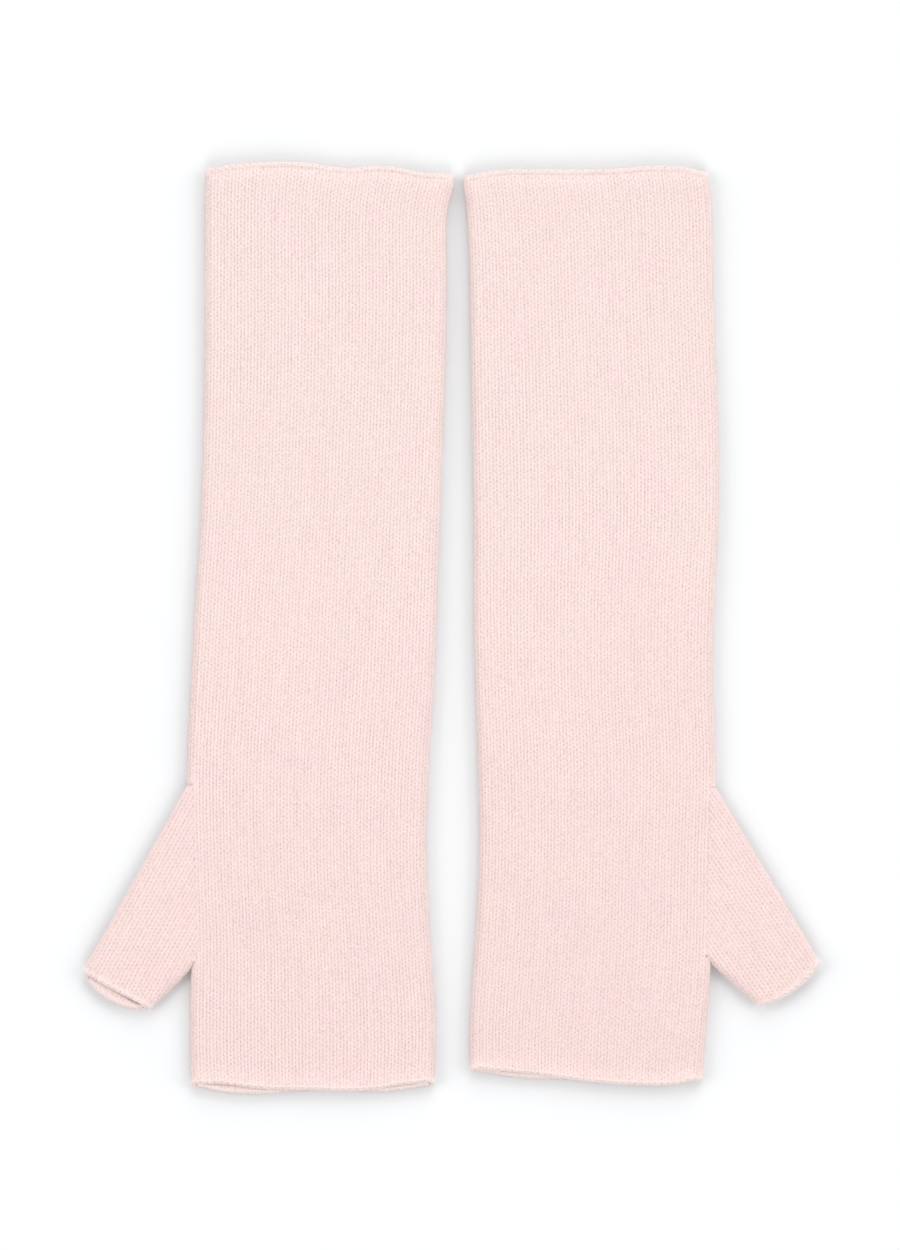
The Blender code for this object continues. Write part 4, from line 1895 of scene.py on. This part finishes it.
def unit(vectors: np.ndarray) -> np.ndarray:
    """Vectors of length 1 with the same directions."""
    return vectors / np.linalg.norm(vectors, axis=-1, keepdims=True)


@dataclass
class ThumbSeam:
    """The row of linking stitches between the sleeve and the thumb, on the front.

    Attributes:
        name: The piece's name.
        sleeve: The sleeve.
        thumb: The thumb tube.
        pitch: The distance between two stitches.
        loop_length: The length of a stitch.
        loop_width: Its width.
        loop_yarn: The radius of its yarn.
        loop_tilt: How far a stitch leans up, in radians.
        loop_turn: How far it is turned towards the thumb, in radians.
        sink: How far the stitches' middles lie below the cloth's upper face.
        seed: What the stitches' stray starts from.
    """

    name: str
    sleeve: Sleeve
    thumb: ThumbTube
    pitch: float = 0.0016
    loop_length: float = 0.0022
    loop_width: float = 0.0011
    loop_yarn: float = 0.00028
    loop_tilt: float = 0.18
    loop_turn: float = 0.25
    sink: float = 0.00042
    seed: int = 5

    def build(self) -> bpy.types.Object:
        """Builds the row of stitches.

        Returns:
            The row.
        """
        plan = self.sleeve.plan
        y = np.arange(plan.root_bottom, plan.root_top, self.pitch)
        tall = float(tall_at(np.array(GAUGE.mouth_depth)))
        x = self.sleeve.fold_x(y, True, tall)
        lift = sum(swell.lift(x, y) for swell in self.sleeve.swells)
        count = len(y)
        along = np.tile((0.0, 1.0, 0.0), (count, 1))
        outward = np.tile((0.0, 0.0, 1.0), (count, 1))
        rows = np.column_stack([x, y, tall - self.sink + lift, along, outward])
        piece = BoundEdge.points_piece(self.name, rows)
        values = {
            "Loop Length": self.loop_length,
            "Loop Width": self.loop_width,
            "Yarn Radius": self.loop_yarn,
            "Tilt": self.loop_tilt,
            "Turn": self.loop_turn * self.sleeve.thumb_way,
            "Seed": self.seed,
            "Finish": LINKING_YARN.material(),
        }
        run_tree(piece, loop_tree(), values)
        return piece


@dataclass
class Nap:
    """Loose fibres that stand on the cloth.

    Attributes:
        name: The piece's name.
        strips: Where the fibres stand.
        seed: What the fibres' places and leans start from.
        density: How many fibres stand on a square metre.
        length: The longest fibre's length.
        spread: How far the fibres lean, in radians.
        radius: A fibre's radius at its root.
    """

    name: str
    strips: list[Strip]
    seed: int
    density: float
    length: float
    spread: float
    radius: float = 0.000045

    def build(self) -> bpy.types.Object:
        """Builds the fibres.

        Returns:
            The fibres, as one piece.
        """
        points, faces, start = [], [], 0
        for strip in self.strips:
            faces += strip.faces(start)
            points.append(strip.points.reshape(-1, 3))
            start += len(points[-1])
        mesh = bpy.data.meshes.new(self.name)
        mesh.from_pydata(np.concatenate(points), [], faces)
        piece = add_object(self.name, mesh)
        values = {
            "Density": self.density,
            "Length": self.length,
            "Fibre Radius": self.radius,
            "Spread": self.spread,
            "Seed": self.seed,
            "Finish": LOOSE_FIBRE.material(),
        }
        run_tree(piece, nap_tree(), values)
        return piece


# The whole pair


@dataclass(frozen=True)
class Cut:
    """The size that a tube's cloth has when it is opened out flat.

    Attributes:
        width: The whole way round.
        length: The length along the wales.
        area: The area, where the shape isn't a rectangle.
    """

    width: float
    length: float
    area: float | None = None


@dataclass
class Warmer:
    """One wrist warmer with its sleeve, thumb, bound edges, seam and nap.

    Attributes:
        side: left or right.
        plan: The thumb's plan.
        swells: The soft rises of the front.
        sleeve_cut: The flat size of the sleeve's cloth. It is not used.
        thumb_cut: The flat size of the thumb's. It is not used.
        seed: What its random parts start from.
    """

    side: str
    plan: ThumbPlan
    swells: tuple[Swell, ...]
    sleeve_cut: Cut
    thumb_cut: Cut
    seed: int

    def build(self) -> None:
        """Builds every piece and parents it to the root empty."""
        sleeve = Sleeve(self.swells, self.side, self.plan)
        thumb = ThumbTube(self.swells, sleeve)
        outer = sleeve.outer_skin()
        inner = sleeve.inner_skin(outer)
        sleeve_piece = self.knit(f"{self.side}_knitted_sleeve", outer, inner, KNIT, pattern_start=0.0)
        thumb_piece = self.knit(
            f"{self.side}_knitted_thumb",
            thumb.skin(cells=(76, 14, 12), rows=230, inset=0.0, is_raised=True),
            thumb.skin(cells=(24, 6, 24), rows=90, inset=GAUGE.wall, is_raised=False),
            SHADED_THUMB_KNIT,
            pattern_start=5.0,
        )
        edges = [
            BoundEdge(f"{self.side}_{mouth}_lip", tube, mouth, seed=self.seed + i)
            for i, (mouth, tube) in enumerate((("arm", sleeve), ("hand", sleeve), ("thumb", thumb)))
        ]
        arm_lip, hand_lip, thumb_lip = (edge.lip() for edge in edges)
        arm_chain, hand_chain, thumb_chain = (edge.chain() for edge in edges)
        seam = ThumbSeam(f"{self.side}_thumb_linking", sleeve, thumb).build()
        strips = sleeve.nap_strips() + thumb.nap_strips()
        for edge in edges:
            strips += edge.nap_strips()
        nap = Nap(
            f"{self.side}_edge_nap", strips, self.seed, density=3.8e6, length=0.0016, spread=0.8
        ).build()
        fronts = [sleeve.front_strip(), thumb.front_strip()]
        bloom = Nap(
            f"{self.side}_front_nap", fronts, self.seed + 5, density=0.09e6, length=0.0019, spread=1.25
        ).build()
        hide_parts(f"{self.side}_sleeve")
        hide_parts(f"{self.side}_thumb")
        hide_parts(f"{self.side}_arm_edge")
        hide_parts(f"{self.side}_hand_edge")
        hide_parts(f"{self.side}_thumb_edge")
        bound = [arm_lip, hand_lip, thumb_lip, arm_chain, hand_chain, thumb_chain, seam]
        for slot, pieces in (("knit", [sleeve_piece, thumb_piece, nap, bloom]), ("bound_edge", bound)):
            for piece in pieces:
                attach(piece, "root")
                log.info("%s: %d faces", piece.name, len(piece.data.polygons))

    def knit(
        self, name: str, outer: Skin, inner: Skin, finish: YarnFinish, pattern_start: float
    ) -> bpy.types.Object:
        """Builds a knitted tube and raises its stitches.

        Args:
            name: The piece's name.
            outer: The outer skin.
            inner: The inner skin.
            finish: The yarn.
            pattern_start: How far along the unevenness's pattern the piece starts.

        Returns:
            The piece.
        """
        piece = add_object(name, wall_mesh(name, outer, inner))
        values = {
            "Depth": GAUGE.depth,
            "Slant": GAUGE.slant,
            "Unevenness": GAUGE.unevenness,
            "Unevenness Start": self.seed + pattern_start,
            "Finish": finish.material(),
        }
        run_tree(piece, relief_tree(), values)
        return piece


LEFT = Warmer(
    side="left",
    plan=ThumbPlan(
        slit_top=-0.0550,
        slit_bottom=-0.1235,
        root_top=-0.0578,
        root_bottom=-0.1217,
        mouth_outer=(-0.1354, -0.1267),
        mouth_inner=(-0.1103, -0.1403),
        front_bow=0.0003,
        back_bow=0.0046,
    ),
    swells=(
        Swell(x=-0.062, y=0.118, half_width=0.022, half_length=0.060, turn=0.1, height=0.0005),
        Swell(x=-0.020, y=0.030, half_width=0.016, half_length=0.070, turn=-0.1, height=0.00045),
        Swell(x=-0.070, y=-0.060, half_width=0.018, half_length=0.046, turn=0.15, height=0.0005),
        Swell(x=-0.032, y=-0.120, half_width=0.020, half_length=0.034, turn=-0.3, height=0.0004),
        Swell(x=-0.112, y=-0.112, half_width=0.007, half_length=0.024, turn=-0.56, height=0.00035),
    ),
    sleeve_cut=Cut(width=0.182, length=0.338),
    thumb_cut=Cut(width=0.062, length=0.082, area=0.0037),
    seed=11,
)
RIGHT = Warmer(
    side="right",
    plan=ThumbPlan(
        slit_top=-0.0570,
        slit_bottom=-0.1225,
        root_top=-0.0585,
        root_bottom=-0.1207,
        mouth_outer=(0.1356, -0.1233),
        mouth_inner=(0.1132, -0.1392),
        front_bow=0.0025,
        back_bow=0.0021,
    ),
    swells=(
        Swell(x=0.038, y=0.120, half_width=0.020, half_length=0.058, turn=-0.1, height=0.0005),
        Swell(x=0.076, y=0.034, half_width=0.017, half_length=0.064, turn=0.12, height=0.00045),
        Swell(x=0.030, y=-0.052, half_width=0.018, half_length=0.044, turn=0.1, height=0.0005),
        Swell(x=0.070, y=-0.122, half_width=0.020, half_length=0.032, turn=0.3, height=0.0004),
        Swell(x=0.113, y=-0.110, half_width=0.007, half_length=0.024, turn=0.56, height=0.00035),
    ),
    sleeve_cut=Cut(width=0.180, length=0.333),
    thumb_cut=Cut(width=0.058, length=0.080, area=0.0036),
    seed=37,
)


@dataclass(frozen=True)
class Softbox:
    """A wide soft light far off at one side.

    Attributes:
        name: Where it stands.
        azimuth: The compass direction that it stands in, in degrees clockwise from the forearm end.
        elevation: Its height above the surface, in degrees.
        share: The light that it gives to the surface, as a share of what turns it white.
    """

    name: str
    azimuth: float
    elevation: float
    share: float


@dataclass(frozen=True)
class Studio:
    """The pale surface, the soft light and the camera straight above.

    Attributes:
        view_x: X of what the middle of the photograph shows.
        view_y: Y of the same.
        view_height: How much of the surface the photograph shows from top to bottom.
        camera_height: The camera's height above the surface.
        cloth_height: The height of the cloth's upper face, where the photograph's scale was read.
        sensor: The height of the camera's sensor, in millimetres.
        room_share: The light from all round, as a share of what turns the surface white.
        exposure: How much brighter than white the open surface is.
        softness: The angle across each softbox, in degrees.
        boxes: The softboxes.
    """

    view_x: float = -0.00055
    view_y: float = 0.00092
    view_height: float = 0.4591
    camera_height: float = 1.6
    cloth_height: float = 0.0042
    sensor: float = 36.0
    room_share: float = 0.10
    exposure: float = 1.016
    softness: float = 50.0
    boxes: tuple[Softbox, ...] = (
        Softbox("forearm_side", azimuth=5.0, elevation=27.5, share=0.235),
        Softbox("right_side", azimuth=85.0, elevation=26.5, share=0.215),
        Softbox("hand_side", azimuth=175.0, elevation=33.0, share=0.215),
        Softbox("left_side", azimuth=275.0, elevation=28.5, share=0.235),
    )

    def build(self) -> None:
        """Builds the surface, the lights and the camera."""
        self.surface()
        self.lights()
        self.camera()
        bpy.context.scene.view_settings.view_transform = "Standard"

    def surface(self) -> None:
        """Builds the pale surface."""
        half = 3.0
        mesh = bpy.data.meshes.new("floor")
        corners = ((-half, -half, 0.0), (half, -half, 0.0), (half, half, 0.0), (-half, half, 0.0))
        mesh.from_pydata(corners, [], [(0, 1, 2, 3)])
        mesh.materials.append(PaperFinish().material())
        add_object("floor", mesh)

    def lights(self) -> None:
        """Builds the even light of the room and the softboxes round the pair."""
        white = self.exposure / float(np.mean(PaperFinish().colour))
        world = bpy.data.worlds.new("soft_room")
        world.use_nodes = True
        background = world.node_tree.nodes["Background"]
        background.inputs["Color"].default_value = (1.0, 1.0, 1.0, 1.0)
        background.inputs["Strength"].default_value = white * self.room_share
        bpy.context.scene.world = world
        for box in self.boxes:
            light = bpy.data.lights.new(box.name, "SUN")
            elevation, azimuth = math.radians(box.elevation), math.radians(box.azimuth)
            light.angle = math.radians(self.softness)
            light.energy = white * box.share * math.pi / math.sin(elevation)
            lamp = bpy.data.objects.new(box.name, light)
            lamp.rotation_euler = (math.pi / 2 - elevation, 0.0, math.pi - azimuth)
            bpy.context.scene.collection.objects.link(lamp)

    def camera(self) -> None:
        """Builds the camera, which looks straight down."""
        lens = bpy.data.cameras.new("camera")
        lens.sensor_fit = "VERTICAL"
        lens.sensor_height = self.sensor
        lens.lens = self.sensor * (self.camera_height - self.cloth_height) / self.view_height
        eye = bpy.data.objects.new("camera", lens)
        eye.location = (self.view_x, self.view_y, self.camera_height)
        bpy.context.scene.collection.objects.link(eye)
        bpy.context.scene.camera = eye


def main() -> None:
    """Builds the pair and the studio."""
    logging.basicConfig(level=logging.INFO, format="%(message)s")
    Studio().build()
    for warmer in (LEFT, RIGHT):
        warmer.build()
    bpy.context.view_layer.update()


if __name__ == "__main__":
    main()
